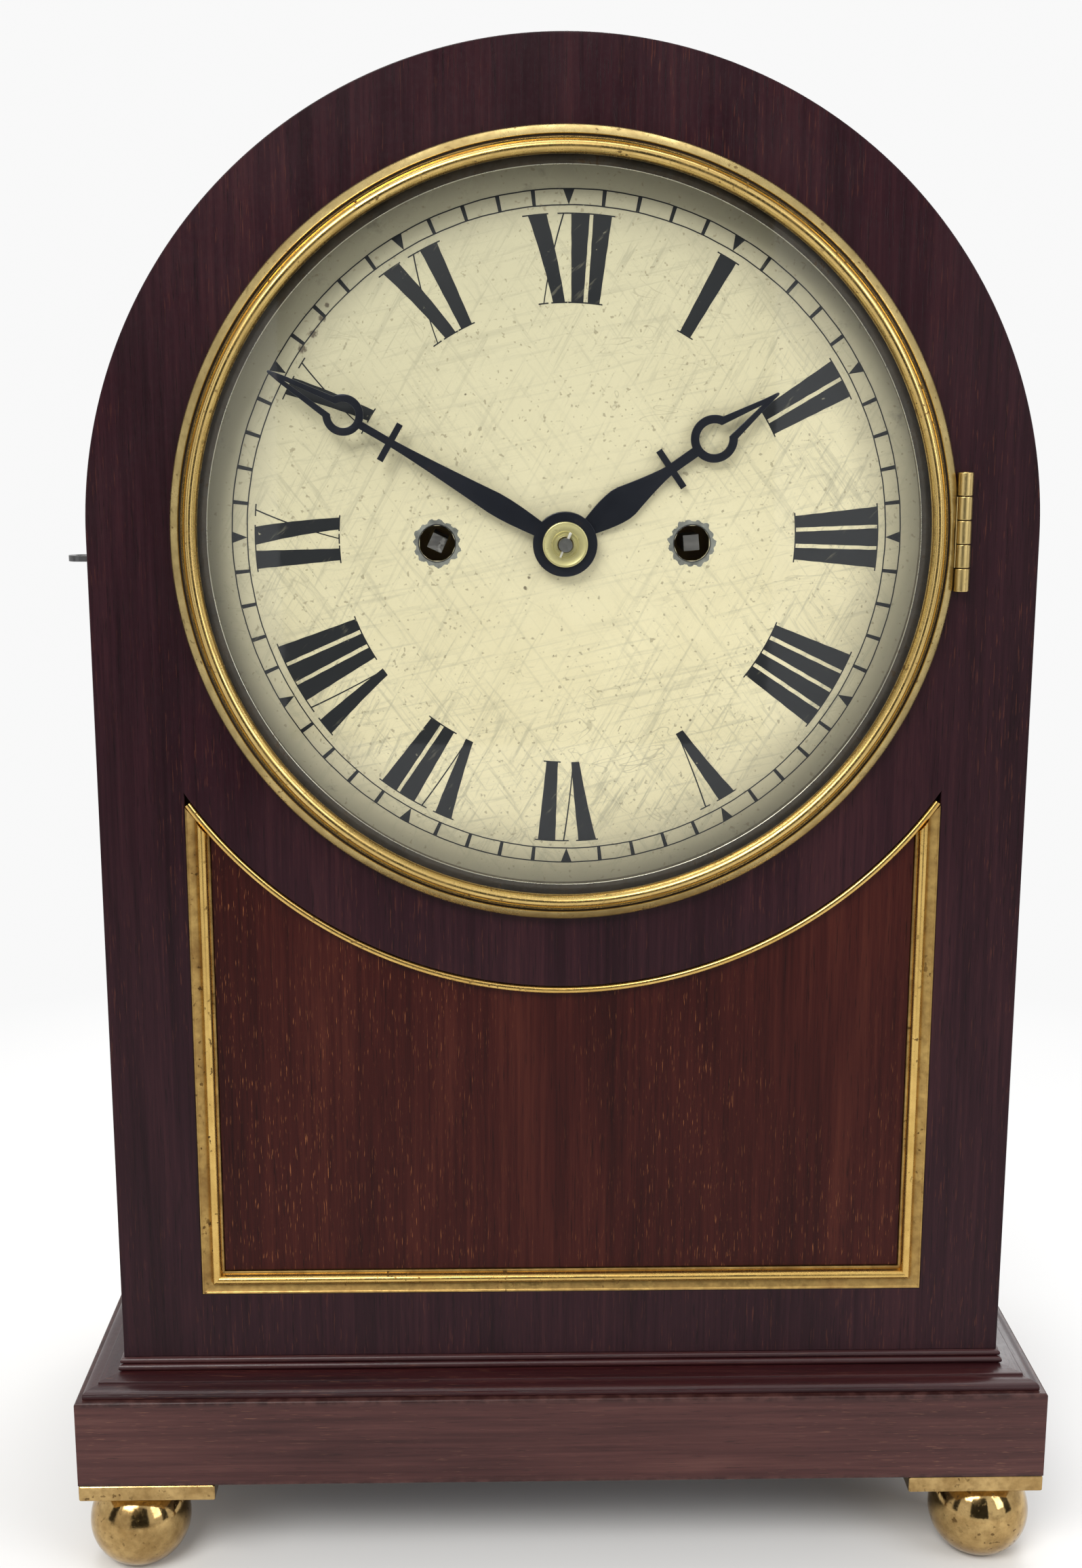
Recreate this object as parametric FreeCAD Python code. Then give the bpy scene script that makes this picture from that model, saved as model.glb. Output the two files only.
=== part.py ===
import FreeCAD, Part
import math
import os

# An arched-top striking bracket clock: mahogany case on brass ball feet, convex painted dial behind a
# hinged brass bezel, and a two-train fusee movement behind a glazed back door.
# Millimetres. +X is the viewer's right, +Y goes back into the case, +Z is up. The origin is on the
# resting surface, under the middle of the clock.

Vec = FreeCAD.Vector

# ------------------------------------------------------------------ driving dimensions: case
case_width = 260.0
case_depth = 165.0
side_height = 241.5         # case foot to the springing of the arch
wall = 10.0                 # side boards and arch
front_board = 14.0          # thickness of the front board
mask_radius = 102.5         # round opening behind the bezel
base_board = 7.9            # moulded board between case and plinth
plinth_height = 26.7
plinth_projection = 12.5    # beyond the case at the front and both sides
plinth_wall = 16.0
pad_size = 40.0             # square brass plate over each foot
pad_thickness = 4.8
foot_radius = 15.0
foot_height = 25.8
foot_neck_radius = 8.0
foot_neck = 0.8
foot_sole_radius = 6.5
foot_inset = 15.0           # foot axis from the plinth's outer faces
foot_sides = 20
rail_height = 12.0          # cleats under the seat board
rail_depth = 12.0

# base board edge moulding, each step (projection, height above the plinth)
bead_height = 1.85
bead_projection = 1.5
ledge_projection = 6.5
ledge_height = 3.9
ovolo_projection = 10.5
ovolo_height = 1.5

# ------------------------------------------------------------------ lower panel
panel_half_width = 106.0
panel_bottom = 20.1         # above the case foot
pocket_depth = 4.0
panel_thickness = 2.4
strip_width = 6.5
strip_fillet = 1.0
strip_proud = 1.6
arc_radius = 129.7          # outer radius of the brass arc, about the dial centre
arc_width = 2.0
arc_proud = 0.8
inlay_gap = 0.05

# ------------------------------------------------------------------ bezel and glass
bezel_radius = 106.8
bezel_rim = 3.0             # height of the bezel's outer edge
bezel_band = 2.6            # sloping band inside the outer edge
bezel_band_rise = 2.0
groove_width = 0.7
groove_depth = 0.8
bead_rise = 2.6
glass_lip_radius = 99.0
glass_radius = 99.9
glass_thickness = 2.2
glass_rise = 6.0
glass_seat = 5.2            # glass edge, in front of the case face
glass_fit = 0.15
lip_gap = 0.3               # lip to the glass edge
bezel_spigot = 3.0          # how far the bezel enters the mask opening
spigot_fit = 0.6
sight_radius = 96.6
bezel_gap = 0.2             # bezel back to case front
sheet_sides = 60            # facets round the glass and the dial

hinge_length = 32.4
hinge_rise = 1.4            # hinge centre above the dial centre
bezel_hinge_x = 108.3
bezel_knuckle = 2.2
bezel_pin = 1.0
leaf_thickness = 1.3
knuckle_gap = 0.3
pin_fit = 0.05

# ------------------------------------------------------------------ dial and hands
dial_radius = 100.4
dial_rise = 6.0
dial_front = 3.0            # dial apex behind the case front
dial_thickness = 1.6
dial_pipe_hole = 4.9
winding_hole = 5.0
winding_offset = 35.0       # winding arbors either side of the centre
dial_foot_offset = 58.0
dial_foot_radius = 2.0
hole_sides = 24             # facets round the holes in the dial

minute_length = 92.0
minute_bar_at = 54.0
minute_bar_half = 5.6
minute_ring_at = 68.6
minute_ring_radius = 5.4
minute_blade_half = 3.1
minute_thickness = 0.8
hour_length = 70.4
hour_bar_at = 35.2
hour_bar_half = 6.1
hour_ring_at = 49.3
hour_ring_radius = 6.3
hour_blade_half = 4.6
hour_thickness = 1.0
boss_radius = 8.8
ring_band = 2.2             # width of the metal round each ring
stem_half = 0.9
hour_hand_back = 0.8        # clear of the dial apex
hand_spacing = 1.2          # hour hand to minute hand
collet_radius = 6.2
collet_thickness = 1.4
time_minutes = 110.0        # hands stand at ten to two
slot_half = 1.75            # keyhole slot between a hand's ring and its tip
slot_from_tip = 5.0

# ------------------------------------------------------------------ back door
door_gap = 0.8
door_thickness = 12.0
door_rail = 21.0
door_rebate = 4.0
door_glass = 2.4
door_hinge_length = 36.0
door_hinge_inset = 50.0     # hinge centres from the ends of the straight stile
door_knuckle = 1.9
door_pin = 0.9
door_leaf = 9.5
door_leaf_thickness = 1.2
catch_drop = 60.0           # catch below the dial centre
catch_radius = 7.0
catch_plate = 1.2
catch_grip = 2.8
catch_shaft = 2.5
catch_reach = 14.0
catch_width = 6.0
catch_thickness = 1.6
catch_mortise = 4.5
running_fit = 0.05

# ------------------------------------------------------------------ movement
hub_drop = 2.0              # hands and movement below the centre of the arch
plate_half_width = 75.0
plate_above = 75.0
plate_below = 85.0
plate_thickness = 3.0
plate_setback = 28.0        # front plate behind the case front
plate_spacing = 52.0
pillar_radius = 4.0
pillar_sides = 12
bearing_sides = 12
pillar_inset = 9.0
seat_board = 12.0
seat_board_front = 20.0
seat_board_back = 92.0
seat_fit = 0.3
bolt_radius = 2.0
bolt_head = 5.5
wheel_thickness = 2.0
great_wheel_thickness = 2.5
fusee_arbor = 3.1
hammer_arbor = 1.6
anchor_arbor = 1.3
pinion_length = 4.5         # behind the front face of the wheel that drives it
winding_square = 4.3
square_setback = 2.2        # square end behind the dial's face
going_square_turn = -5.0    # degrees clockwise, where each square has come to rest
strike_square_turn = 25.0

great_teeth = 60
centre_teeth = 60
third_teeth = 66
escape_teeth = 36
pin_teeth = 48
gathering_teeth = 48
pinion_leaves = 6
centre_module = 0.75
third_module = 0.6
pin_module = 0.7
gathering_module = 0.6
escape_radius = 14.0
escape_rise = 44.0          # escape arbor above the centre
anchor_rise = 63.5          # pallet arbor above the centre
anchor_thickness = 4.0
cannon_teeth = 20
minute_teeth = 30
minute_leaves = 6
hour_teeth = 48
cannon_module = 0.84
minute_stud = 0.8

great_at = 5.0              # wheel faces behind the front plate's back
strike_back = 5.0           # striking great wheel and fusee stand this far behind the going ones
fusee_at = 8.0
escape_at = 25.0
third_at = 33.0
centre_at = 43.0
fusee_length = 30.0
fusee_large = 15.0
fusee_small = 8.0
fusee_bands = 3
fusee_sides = 20
barrel_radius = 22.0
barrel_length = 34.0
barrel_sides = 28
barrel_arbor = 3.0
barrel_out = 13.0           # barrel beyond the fusee, sideways
barrel_drop = 52.0          # barrel below the fusee
line_radius = 0.7
line_gap = 0.3

pin_direction = 100.0       # degrees from +X, strike fusee to pin wheel
gathering_direction = 100.0
fly_direction = 200.0
pin_rim = 4.0               # rim under the lifting pins
lifting_pins = 6
lifting_pin_radius = 0.8
lifting_pin_length = 3.5
fly_width = 20.0
fly_length = 16.0

# ------------------------------------------------------------------ pendulum, bell and repeat work
cock_half_width = 20.0
cock_standoff = 9.0
cock_bridge = 2.5
cock_height = 17.0
chop_depth = 5.0
spring_thickness = 0.4
spring_width = 5.0
spring_length = 11.0
rod_radius = 1.5
pendulum_length = 205.0     # flexing point to the middle of the bob
bob_radius = 24.0
bob_thickness = 14.0
bob_sides = 28
nut_radius = 6.0
nut_height = 5.0
rod_below_nut = 7.0
crutch_drop = 52.0
crutch_radius = 1.1
fork_gap = 0.15

bell_radius = 32.0
bell_headroom = 10.0        # crown to the inside of the arch
bell_wall = 1.8
bell_rise = 84.0            # bell rim above the dial centre
bell_setback = 52.0         # bell axis behind the case front
bell_clearance = 0.3
bell_sides = 32
stand_x = 24.0
stand_width = 8.0
stand_thickness = 3.0
hammer_x = -22.0
hammer_rise = 62.0
hammer_head_radius = 4.0
hammer_head_length = 9.0
hammer_gap = 1.2
hammer_tail = 15.0

lever_drop = 7.4            # repeat lever below the dial centre
lever_pivot_x = -60.0
lever_reach = 10.0          # beyond the side of the case
lever_plate = 2.0
lever_height = 8.0
lever_tongue = 7.0
lever_tongue_thickness = 1.6
lever_eye = 1.5
lever_stud = 2.0
slot_above = 3.5
slot_below = 11.0
slot_width = 10.0

# ------------------------------------------------------------------ places worked out from the sizes
half_width = case_width / 2
catch_stand_out = catch_plate + catch_grip
overall_depth = plinth_projection + case_depth + catch_stand_out
front_y = plinth_projection - overall_depth / 2     # front face of the case
back_y = front_y + case_depth
plinth_front = front_y - plinth_projection
plinth_half = half_width + plinth_projection
pad_bottom = foot_height + foot_neck
plinth_bottom = pad_bottom + pad_thickness
plinth_top = plinth_bottom + plinth_height
case_foot = plinth_top + base_board
dial_z = case_foot + side_height
hub_z = dial_z - hub_drop
inner_half = half_width - wall
board_back = front_y + front_board

plate_front = front_y + plate_setback
plate_back = plate_front + plate_thickness
rear_front = plate_back + plate_spacing
rear_back = rear_front + plate_thickness

great_module = 2 * winding_offset / (great_teeth + pinion_leaves)
cannon_distance = cannon_module * (cannon_teeth + minute_teeth) / 2
hour_module = 2 * cannon_distance / (minute_leaves + hour_teeth)
train_y = {
    "great": plate_back + great_at,
    "fusee": plate_back + fusee_at,
    "escape": plate_back + escape_at,
    "third": plate_back + third_at,
    "centre": plate_back + centre_at,
}
rod_y_place = rear_back + cock_standoff + cock_bridge + chop_depth / 2
flex_z = hub_z + anchor_rise
lever_z = dial_z - lever_drop
lever_y = plate_front - 5.0
bell_y = front_y + bell_setback
bell_height = inner_half - bell_rise - bell_headroom


def offset(place, distance, degrees):
    """Place at a distance and a direction, in the plane of the dial."""
    angle = math.radians(degrees)
    return (place[0] + distance * math.cos(angle), place[1] + distance * math.sin(angle))


def meeting_place(a, from_a, b, from_b):
    """Place at given distances from a and b, on the right of the line from a to b."""
    span = math.dist(a, b)
    along = (span**2 + from_a**2 - from_b**2) / (2 * span)
    across = math.sqrt(from_a**2 - along**2)
    ux, uz = (b[0] - a[0]) / span, (b[1] - a[1]) / span
    return (a[0] + along * ux + across * uz, a[1] + along * uz - across * ux)


def direction(a, b):
    """Angle of the line from a to b, in radians from +X towards +Z."""
    return math.atan2(b[1] - a[1], b[0] - a[0])


def mesh_distance(wheel, pinion, module):
    return module * (wheel + pinion) / 2


arch_centre = (0.0, dial_z)
centre = (0.0, hub_z)
going_fusee_at = (winding_offset, hub_z)
strike_fusee_at = (-winding_offset, hub_z)
going_barrel_at = (winding_offset + barrel_out, hub_z - barrel_drop)
strike_barrel_at = (-winding_offset - barrel_out, hub_z - barrel_drop)
escape_place = (0.0, hub_z + escape_rise)
third_place = meeting_place(
    centre, mesh_distance(centre_teeth, pinion_leaves, centre_module),
    escape_place, mesh_distance(third_teeth, pinion_leaves, third_module))
anchor_place = (0.0, flex_z)
minute_place = (0.0, hub_z - cannon_distance)
pin_place = offset(strike_fusee_at, winding_offset, pin_direction)
gathering_place = offset(
    pin_place, mesh_distance(pin_teeth, pinion_leaves, pin_module), gathering_direction)
fly_place = offset(
    gathering_place, mesh_distance(gathering_teeth, pinion_leaves, gathering_module), fly_direction)
hammer_place = (hammer_x, hub_z + hammer_rise)


# ------------------------------------------------------------------ shape helpers
def box(x0, x1, y0, y1, z0, z1):
    return Part.makeBox(x1 - x0, y1 - y0, z1 - z0, Vec(x0, y0, z0))


def rod_x(radius, x0, x1, y, z):
    return Part.makeCylinder(radius, x1 - x0, Vec(x0, y, z), Vec(1, 0, 0))


def rod_y(radius, y0, y1, place):
    return Part.makeCylinder(radius, y1 - y0, Vec(place[0], y0, place[1]), Vec(0, 1, 0))


def rod_z(radius, z0, z1, x, y):
    return Part.makeCylinder(radius, z1 - z0, Vec(x, y, z0), Vec(0, 0, 1))


def face_of(steps, place):
    """Face bounded by straight steps (a, b) and arcs ((via), (end)); place sets (a, b) in space."""
    edges = []
    start = at = place(*steps[0])
    for step in steps[1:] + [steps[0]]:
        if isinstance(step[0], tuple):
            end = place(*step[1])
            edges.append(Part.Arc(at, place(*step[0]), end).toShape())
        else:
            end = place(*step)
            if end.distanceToPoint(at) > 1e-6:
                edges.append(Part.makeLine(at, end))
        at = end
    if at.distanceToPoint(start) > 1e-6:
        edges.append(Part.makeLine(at, start))
    return Part.Face(Part.Wire(edges))


def prism_y(steps, y0, y1):
    """Outline in the plane of the dial, (x, z), carried from one depth to another."""
    return face_of(steps, lambda x, z: Vec(x, y0, z)).extrude(Vec(0, y1 - y0, 0))


def prism_x(steps, x0, x1):
    """Outline in the side view, (y, z), carried sideways."""
    return face_of(steps, lambda y, z: Vec(x0, y, z)).extrude(Vec(x1 - x0, 0, 0))


def prism_z(steps, z0, z1):
    """Outline in the plan, (x, y), carried upwards."""
    return face_of(steps, lambda x, y: Vec(x, y, z0)).extrude(Vec(0, 0, z1 - z0))


def turned_y(steps, place):
    """Outline (radius, depth) turned about an axis that runs back through the dial."""
    axis = Vec(place[0], 0, place[1])
    flat = face_of(steps, lambda r, y: Vec(place[0] + r, y, place[1]))
    return flat.revolve(axis, Vec(0, 1, 0), 360)


def facet_turned(outline, sides, place):
    """Closed outline (radius, height) carried round an axis in flat facets; place(u, v, height) sets it."""
    step = 2 * math.pi / sides
    faces = []
    for (r0, h0), (r1, h1) in zip(outline, outline[1:] + outline[:1]):
        if r0 < 1e-6 and r1 < 1e-6:
            continue
        rings = [[place(r * math.cos(i * step), r * math.sin(i * step), h) for i in range(sides)]
                 for r, h in ((r0, h0), (r1, h1))]
        if abs(h0 - h1) < 1e-6:
            loops = [Part.makePolygon(ring + ring[:1]) for ring, r in zip(rings, (r0, r1)) if r > 1e-6]
            faces.append(flat_ring(loops))
            continue
        for i in range(sides):
            j = (i + 1) % sides
            corners = [rings[0][i], rings[0][j], rings[1][j], rings[1][i]]
            if r0 < 1e-6:
                corners = corners[1:]
            if r1 < 1e-6:
                corners = corners[:3]
            faces.append(Part.Face(Part.makePolygon(corners + corners[:1])))
    solid = Part.Solid(Part.makeShell(faces))
    if solid.Volume < 0:
        solid.reverse()
    return solid


def flat_ring(loops):
    """Flat face inside one loop, or between two."""
    made = [Part.Face(loop) for loop in loops]
    made.sort(key=lambda face: -face.Area)
    return made[0].cut(made[1]).Faces[0] if len(made) > 1 else made[0]


def facets_y(outline, sides, centre_place):
    """Faceted round form about an axis that runs back through the dial."""
    x, z = centre_place
    return facet_turned(outline, sides, lambda u, v, y: Vec(x + u, y, z + v))


def facets_z(outline, sides, x, y):
    """Faceted round form about an upright axis."""
    return facet_turned(outline, sides, lambda u, v, z: Vec(x + u, y + v, z))


def facet_rod(radius, y0, y1, place, sides):
    """Faceted bar that runs back through the dial."""
    return facets_y([(0, y0), (radius, y0), (radius, y1), (0, y1)], sides, place)


def polygon_z(sides, radius, z0, z1, x, y):
    """Upright bar with equal flats."""
    step = 2 * math.pi / sides
    return prism_z([(x + radius * math.cos(i * step), y + radius * math.sin(i * step)) for i in range(sides)],
                   z0, z1)


def arch_slab(half, z_foot, y0, y1):
    """Upright slab with a half-round top about the dial centre."""
    steps = [(-half, z_foot), (half, z_foot), (half, dial_z), ((0, dial_z + half), (-half, dial_z))]
    return prism_y(steps, y0, y1)


def fused(first, *others):
    return first.fuse(list(others)).removeSplitter()


def cut_all(shape, *tools):
    return shape.cut(list(tools))


def turned_about(shape, place, degrees):
    """Copy turned clockwise, seen from the front, about an axis through the dial's plane."""
    copy = shape.copy()
    copy.rotate(Vec(place[0], 0, place[1]), Vec(0, 1, 0), degrees)
    return copy


# ------------------------------------------------------------------ case and base
def front_board_piece():
    board = arch_slab(half_width, case_foot, front_y, board_back)
    mask = rod_y(mask_radius, front_y - 1, board_back + 1, arch_centre)
    pocket = below_arc(panel_half_width, panel_z(), arc_radius - arc_width, front_y - 1, pocket_y())
    leaf = fixed_leaf_recess()
    return cut_all(board, mask, pocket, leaf)


def side_board(side):
    x0, x1 = sorted((side * half_width, side * inner_half))
    board = box(x0, x1, board_back, back_y, case_foot, dial_z)
    if side < 0:
        slot = box(x0 - 1, x1 + 1, lever_y - slot_width / 2, lever_y + slot_width / 2,
                   lever_z - slot_below, lever_z + slot_above)
        board = cut_all(board, slot, catch_mortise_cut())
    return board


def arch_top():
    outer = rod_y(half_width, board_back, back_y, arch_centre)
    inner = rod_y(inner_half, board_back - 1, back_y + 1, arch_centre)
    upper = box(-half_width, half_width, board_back, back_y, dial_z, dial_z + half_width)
    return outer.cut(inner).common(upper)


def moulded_edge(edge):
    """Section of the base board's edge: outward distance and height, from the top down."""
    top = case_foot
    first = top - bead_height
    second = first - bead_height
    return [
        (edge, top),
        ((edge + bead_height / 2, top - bead_height / 2), (edge, first)),
        (edge + bead_projection - bead_height / 2, first),
        ((edge + bead_projection, first - bead_height / 2), (edge + bead_projection - bead_height / 2, second)),
        (edge + ledge_projection, plinth_top + ledge_height),
        ((edge + ovolo_projection - 0.8, plinth_top + ledge_height - 0.8),
         (edge + ovolo_projection, plinth_top + ovolo_height)),
        (edge + ovolo_projection, plinth_top),
    ]


def base_board_piece():
    """Board under the case, its front and side edges moulded and mitred at the corners."""
    right = moulded_edge(half_width)
    left = [mirrored(step) for step in reversed_outline(right)]
    across = prism_y(right + left, plinth_front, back_y)
    front = [front_step(step) for step in moulded_edge(-front_y)]
    along = prism_x(front + [(back_y, plinth_top), (back_y, case_foot)], -plinth_half, plinth_half)
    return across.common(along)


def mirrored(step):
    if isinstance(step[0], tuple):
        return tuple((-a, b) for a, b in step)
    return (-step[0], step[1])


def front_step(step):
    return mirrored(step)


def reversed_outline(steps):
    """Same outline walked backwards, with each arc kept between its own ends."""
    ends = [step[1] if isinstance(step[0], tuple) else step for step in steps]
    walked = [ends[-1]]
    for i in range(len(steps) - 1, 0, -1):
        if isinstance(steps[i][0], tuple):
            walked.append((steps[i][0], ends[i - 1]))
        else:
            walked.append(ends[i - 1])
    return walked


def plinth():
    outer = box(-plinth_half, plinth_half, plinth_front, back_y, plinth_bottom, plinth_top)
    inner = box(-plinth_half + plinth_wall, plinth_half - plinth_wall, plinth_front + plinth_wall,
                back_y - plinth_wall, plinth_bottom - 1, plinth_top + 1)
    return outer.cut(inner)


def corner_places(inset):
    """The four feet or pads: x and y of a point this far in from the plinth's outer faces."""
    x = plinth_half - inset
    return [(sx * x, y) for y in (plinth_front + inset, back_y - inset) for sx in (-1, 1)]


def foot_pads():
    half = pad_size / 2
    pads = [box(x - half, x + half, y - half, y + half, pad_bottom, plinth_bottom)
            for x, y in corner_places(half)]
    return Part.makeCompound(pads)


def ball_foot(x, y):
    """Squat ball: a short neck, a round belly and a flat sole."""
    waist = foot_height / 2
    bands = 5
    low = math.asin(foot_sole_radius / foot_radius)
    high = math.pi - math.asin(foot_neck_radius / foot_radius)
    reach = math.cos(low)
    steps = [(0, 0)]
    for i in range(bands + 1):
        angle = low + (high - low) * i / bands
        drop = math.cos(angle) / (reach if angle < math.pi / 2 else -math.cos(high))
        steps.append((foot_radius * math.sin(angle), waist * (1 - drop)))
    steps += [(foot_neck_radius, pad_bottom), (0, pad_bottom)]
    return facets_z(steps, foot_sides, x, y)


def ball_feet():
    return Part.makeCompound([ball_foot(x, y) for x, y in corner_places(foot_inset)])


# ------------------------------------------------------------------ lower panel
def panel_z():
    return case_foot + panel_bottom


def pocket_y():
    return front_y + pocket_depth


def below_arc(half, z_foot, radius, y0, y1):
    """Block whose top is hollowed by a circle about the dial centre."""
    return box(-half, half, y0, y1, z_foot, dial_z).cut(rod_y(radius, y0 - 1, y1 + 1, arch_centre))


def lower_panel():
    clear = strip_width + inlay_gap
    return below_arc(panel_half_width - clear, panel_z() + clear, arc_radius + inlay_gap,
                     pocket_y() - panel_thickness, pocket_y())


def strip_section():
    """Moulded strip: a fillet, a bead and an inner fillet; (distance in from the edge, depth)."""
    inner = strip_width - strip_fillet
    back = pocket_y()
    low = front_y + 0.5
    return [
        (0, back), (0, front_y - 0.1), (strip_fillet, front_y - 0.1),
        (((strip_fillet + inner) / 2, front_y - strip_proud), (inner, low)),
        (strip_width, low), (strip_width, back),
    ]


def mitre(side, keep_side_strip):
    """Wedge that takes away one strip beyond the mitre at a lower corner."""
    x, z = panel_half_width + 1, panel_z() - 1
    run = strip_width + 4
    third = (x - run, z) if keep_side_strip else (x, z + run)
    steps = [(side * x, z), (side * (x - run), z + run), (side * third[0], third[1])]
    return prism_y(steps, front_y - 5, pocket_y() + 5)


def panel_side_strip(side):
    outline = face_of(strip_section(), lambda u, y: Vec(side * (panel_half_width - u), y, panel_z()))
    strip = outline.extrude(Vec(0, 0, dial_z - panel_z()))
    arc = rod_y(arc_radius + inlay_gap, front_y - 9, pocket_y() + 9, arch_centre)
    return cut_all(strip, arc, mitre(side, True))


def panel_bottom_strip():
    outline = face_of(strip_section(), lambda u, y: Vec(-panel_half_width, y, panel_z() + u))
    strip = outline.extrude(Vec(2 * panel_half_width, 0, 0))
    return cut_all(strip, mitre(-1, False), mitre(1, False))


def panel_arc_strip():
    inner = arc_radius - arc_width + inlay_gap
    steps = [(inner, pocket_y()), (inner, front_y), ((inner + arc_radius) / 2, front_y - arc_proud),
             (arc_radius, front_y), (arc_radius, pocket_y())]
    ring = turned_y(steps, arch_centre)
    window = box(-panel_half_width, panel_half_width, front_y - 5, pocket_y() + 5,
                 panel_z(), dial_z - winding_offset)
    return ring.common(window)


# ------------------------------------------------------------------ bezel, glass and its hinge
def bezel_ring():
    """Cast ring: sloping outer band, groove, bold bead and the lip that holds the glass."""
    rim_front = front_y - bezel_gap - bezel_rim
    band = bezel_radius - bezel_band
    band_front = rim_front - bezel_band_rise
    bead = band - groove_width
    width = bead - glass_lip_radius
    lip_back = front_y - glass_seat - lip_gap
    inner = glass_radius + glass_fit
    spigot = mask_radius - spigot_fit
    back = front_y - bezel_gap
    steps = [
        (bezel_radius, back), (bezel_radius, rim_front), (band, band_front), (bead, band_front + groove_depth),
        (bead - width * 0.25, band_front - bead_rise * 0.8), (bead - width * 0.7, band_front - bead_rise),
        (glass_lip_radius, band_front - groove_depth), (glass_lip_radius, lip_back), (inner, lip_back),
        (inner, front_y + bezel_spigot), (spigot, front_y + bezel_spigot), (spigot, back),
    ]
    ring = facets_y(steps, sheet_sides, arch_centre)
    notch = box(bezel_hinge_x - bezel_knuckle - 0.2, bezel_radius + 1, front_y - 20, front_y + 20,
                hinge_z() - hinge_length / 2 - 0.3, hinge_z() + hinge_length / 2 + 0.3)
    return ring.cut(notch)


def domed_disc(radius, apex_y, rise, thickness, bands):
    """Round sheet that bulges forward, its dome drawn in straight bands, the same behind as in front."""
    front = [(radius * i / bands, apex_y + dome_fall(radius, rise, radius * i / bands))
             for i in range(bands + 1)]
    back = [(r, y + thickness) for r, y in reversed(front)]
    return facets_y(front + back, sheet_sides, arch_centre)


def dome_fall(radius, rise, at):
    """How far a dome of this radius and rise has fallen back at a distance from its middle."""
    sphere = (radius**2 + rise**2) / (2 * rise)
    return sphere - math.sqrt(sphere**2 - at**2)


def bezel_glass():
    return domed_disc(glass_radius, front_y - glass_seat - glass_rise, glass_rise, glass_thickness, 3)


def sight_ring():
    """Slim ring that holds the glass against the bezel's lip."""
    front = front_y - glass_seat + glass_thickness + 0.1
    back = front_y + bezel_spigot
    steps = [(glass_radius, front), (sight_radius, front), (sight_radius + 0.9, back), (glass_radius, back)]
    return facets_y(steps, sheet_sides, arch_centre)


def hinge_z():
    return dial_z + hinge_rise


def bezel_hinge_y():
    return front_y - bezel_knuckle - 0.1


def knuckle_spans(z_mid, length, count, first):
    """Heights of every second knuckle of a hinge, counted from the first or the second."""
    share = length / count
    foot = z_mid - length / 2
    return [(foot + i * share + knuckle_gap / 2, foot + (i + 1) * share - knuckle_gap / 2)
            for i in range(first, count, 2)]


def fixed_leaf_recess():
    x0 = bezel_hinge_x - bezel_knuckle - 1.4
    x1 = bezel_hinge_x + bezel_knuckle + 0.2
    half = hinge_length / 2 + 0.3
    return box(x0, x1, front_y - 1, front_y + leaf_thickness, hinge_z() - half, hinge_z() + half)


def bezel_hinge_fixed_leaf():
    """Leaf let in flush behind the bezel, its three knuckles and the pin riveted through them."""
    x, y = bezel_hinge_x, bezel_hinge_y()
    half = hinge_length / 2
    plate = box(x - bezel_knuckle - 1.2, x + bezel_knuckle, front_y, front_y + leaf_thickness,
                hinge_z() - half, hinge_z() + half)
    pin = polygon_z(12, bezel_pin, hinge_z() - half, hinge_z() + half, x, y)
    parts = [plate, pin]
    for z0, z1 in knuckle_spans(hinge_z(), hinge_length, 5, 0):
        parts += [rod_z(bezel_knuckle, z0, z1, x, y), box(x - 0.9, x + 1.6, y, front_y, z0, z1)]
    return fused(*parts)


def bezel_hinge_moving_leaf():
    """Plate against the notch in the bezel's edge, with the two knuckles between the fixed ones."""
    x, y = bezel_hinge_x, bezel_hinge_y()
    edge = x - bezel_knuckle - 0.2
    parts = []
    spans = knuckle_spans(hinge_z(), hinge_length, 5, 1)
    for z0, z1 in spans:
        bore = rod_z(bezel_pin + pin_fit, z0 - 1, z1 + 1, x, y)
        parts.append(rod_z(bezel_knuckle, z0, z1, x, y).fuse(box(edge, x, y - 0.6, y + 0.6, z0, z1)).cut(bore))
    plate = box(edge, edge + 0.15, y - 1.2, y + 1.2, spans[0][0], spans[-1][1])
    return fused(plate, *parts)


# ------------------------------------------------------------------ dial and hands
def dial_depth(radius):
    """Depth of the dial's painted face at a distance from its centre."""
    return front_y + dial_front + dome_fall(dial_radius, dial_rise, radius)


def dial():
    """Convex painted sheet with its four feet riveted on behind."""
    sheet = domed_disc(dial_radius, front_y + dial_front, dial_rise, dial_thickness, 3)
    holes = [facet_rod(dial_pipe_hole, front_y - 20, plate_front, centre, hole_sides)]
    for place in (going_fusee_at, strike_fusee_at):
        holes.append(facet_rod(winding_hole, front_y - 20, plate_front, place, hole_sides))
    feet = [facet_rod(dial_foot_radius, dial_depth(dial_foot_offset * 1.35) + 0.8, plate_front, place, 12)
            for place in dial_foot_places()]
    return fused(cut_all(sheet, *holes), *feet)


def dial_foot_places():
    d = dial_foot_offset
    return [(sx * d, dial_z + sz * d) for sx in (-1, 1) for sz in (-1, 1)]


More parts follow.
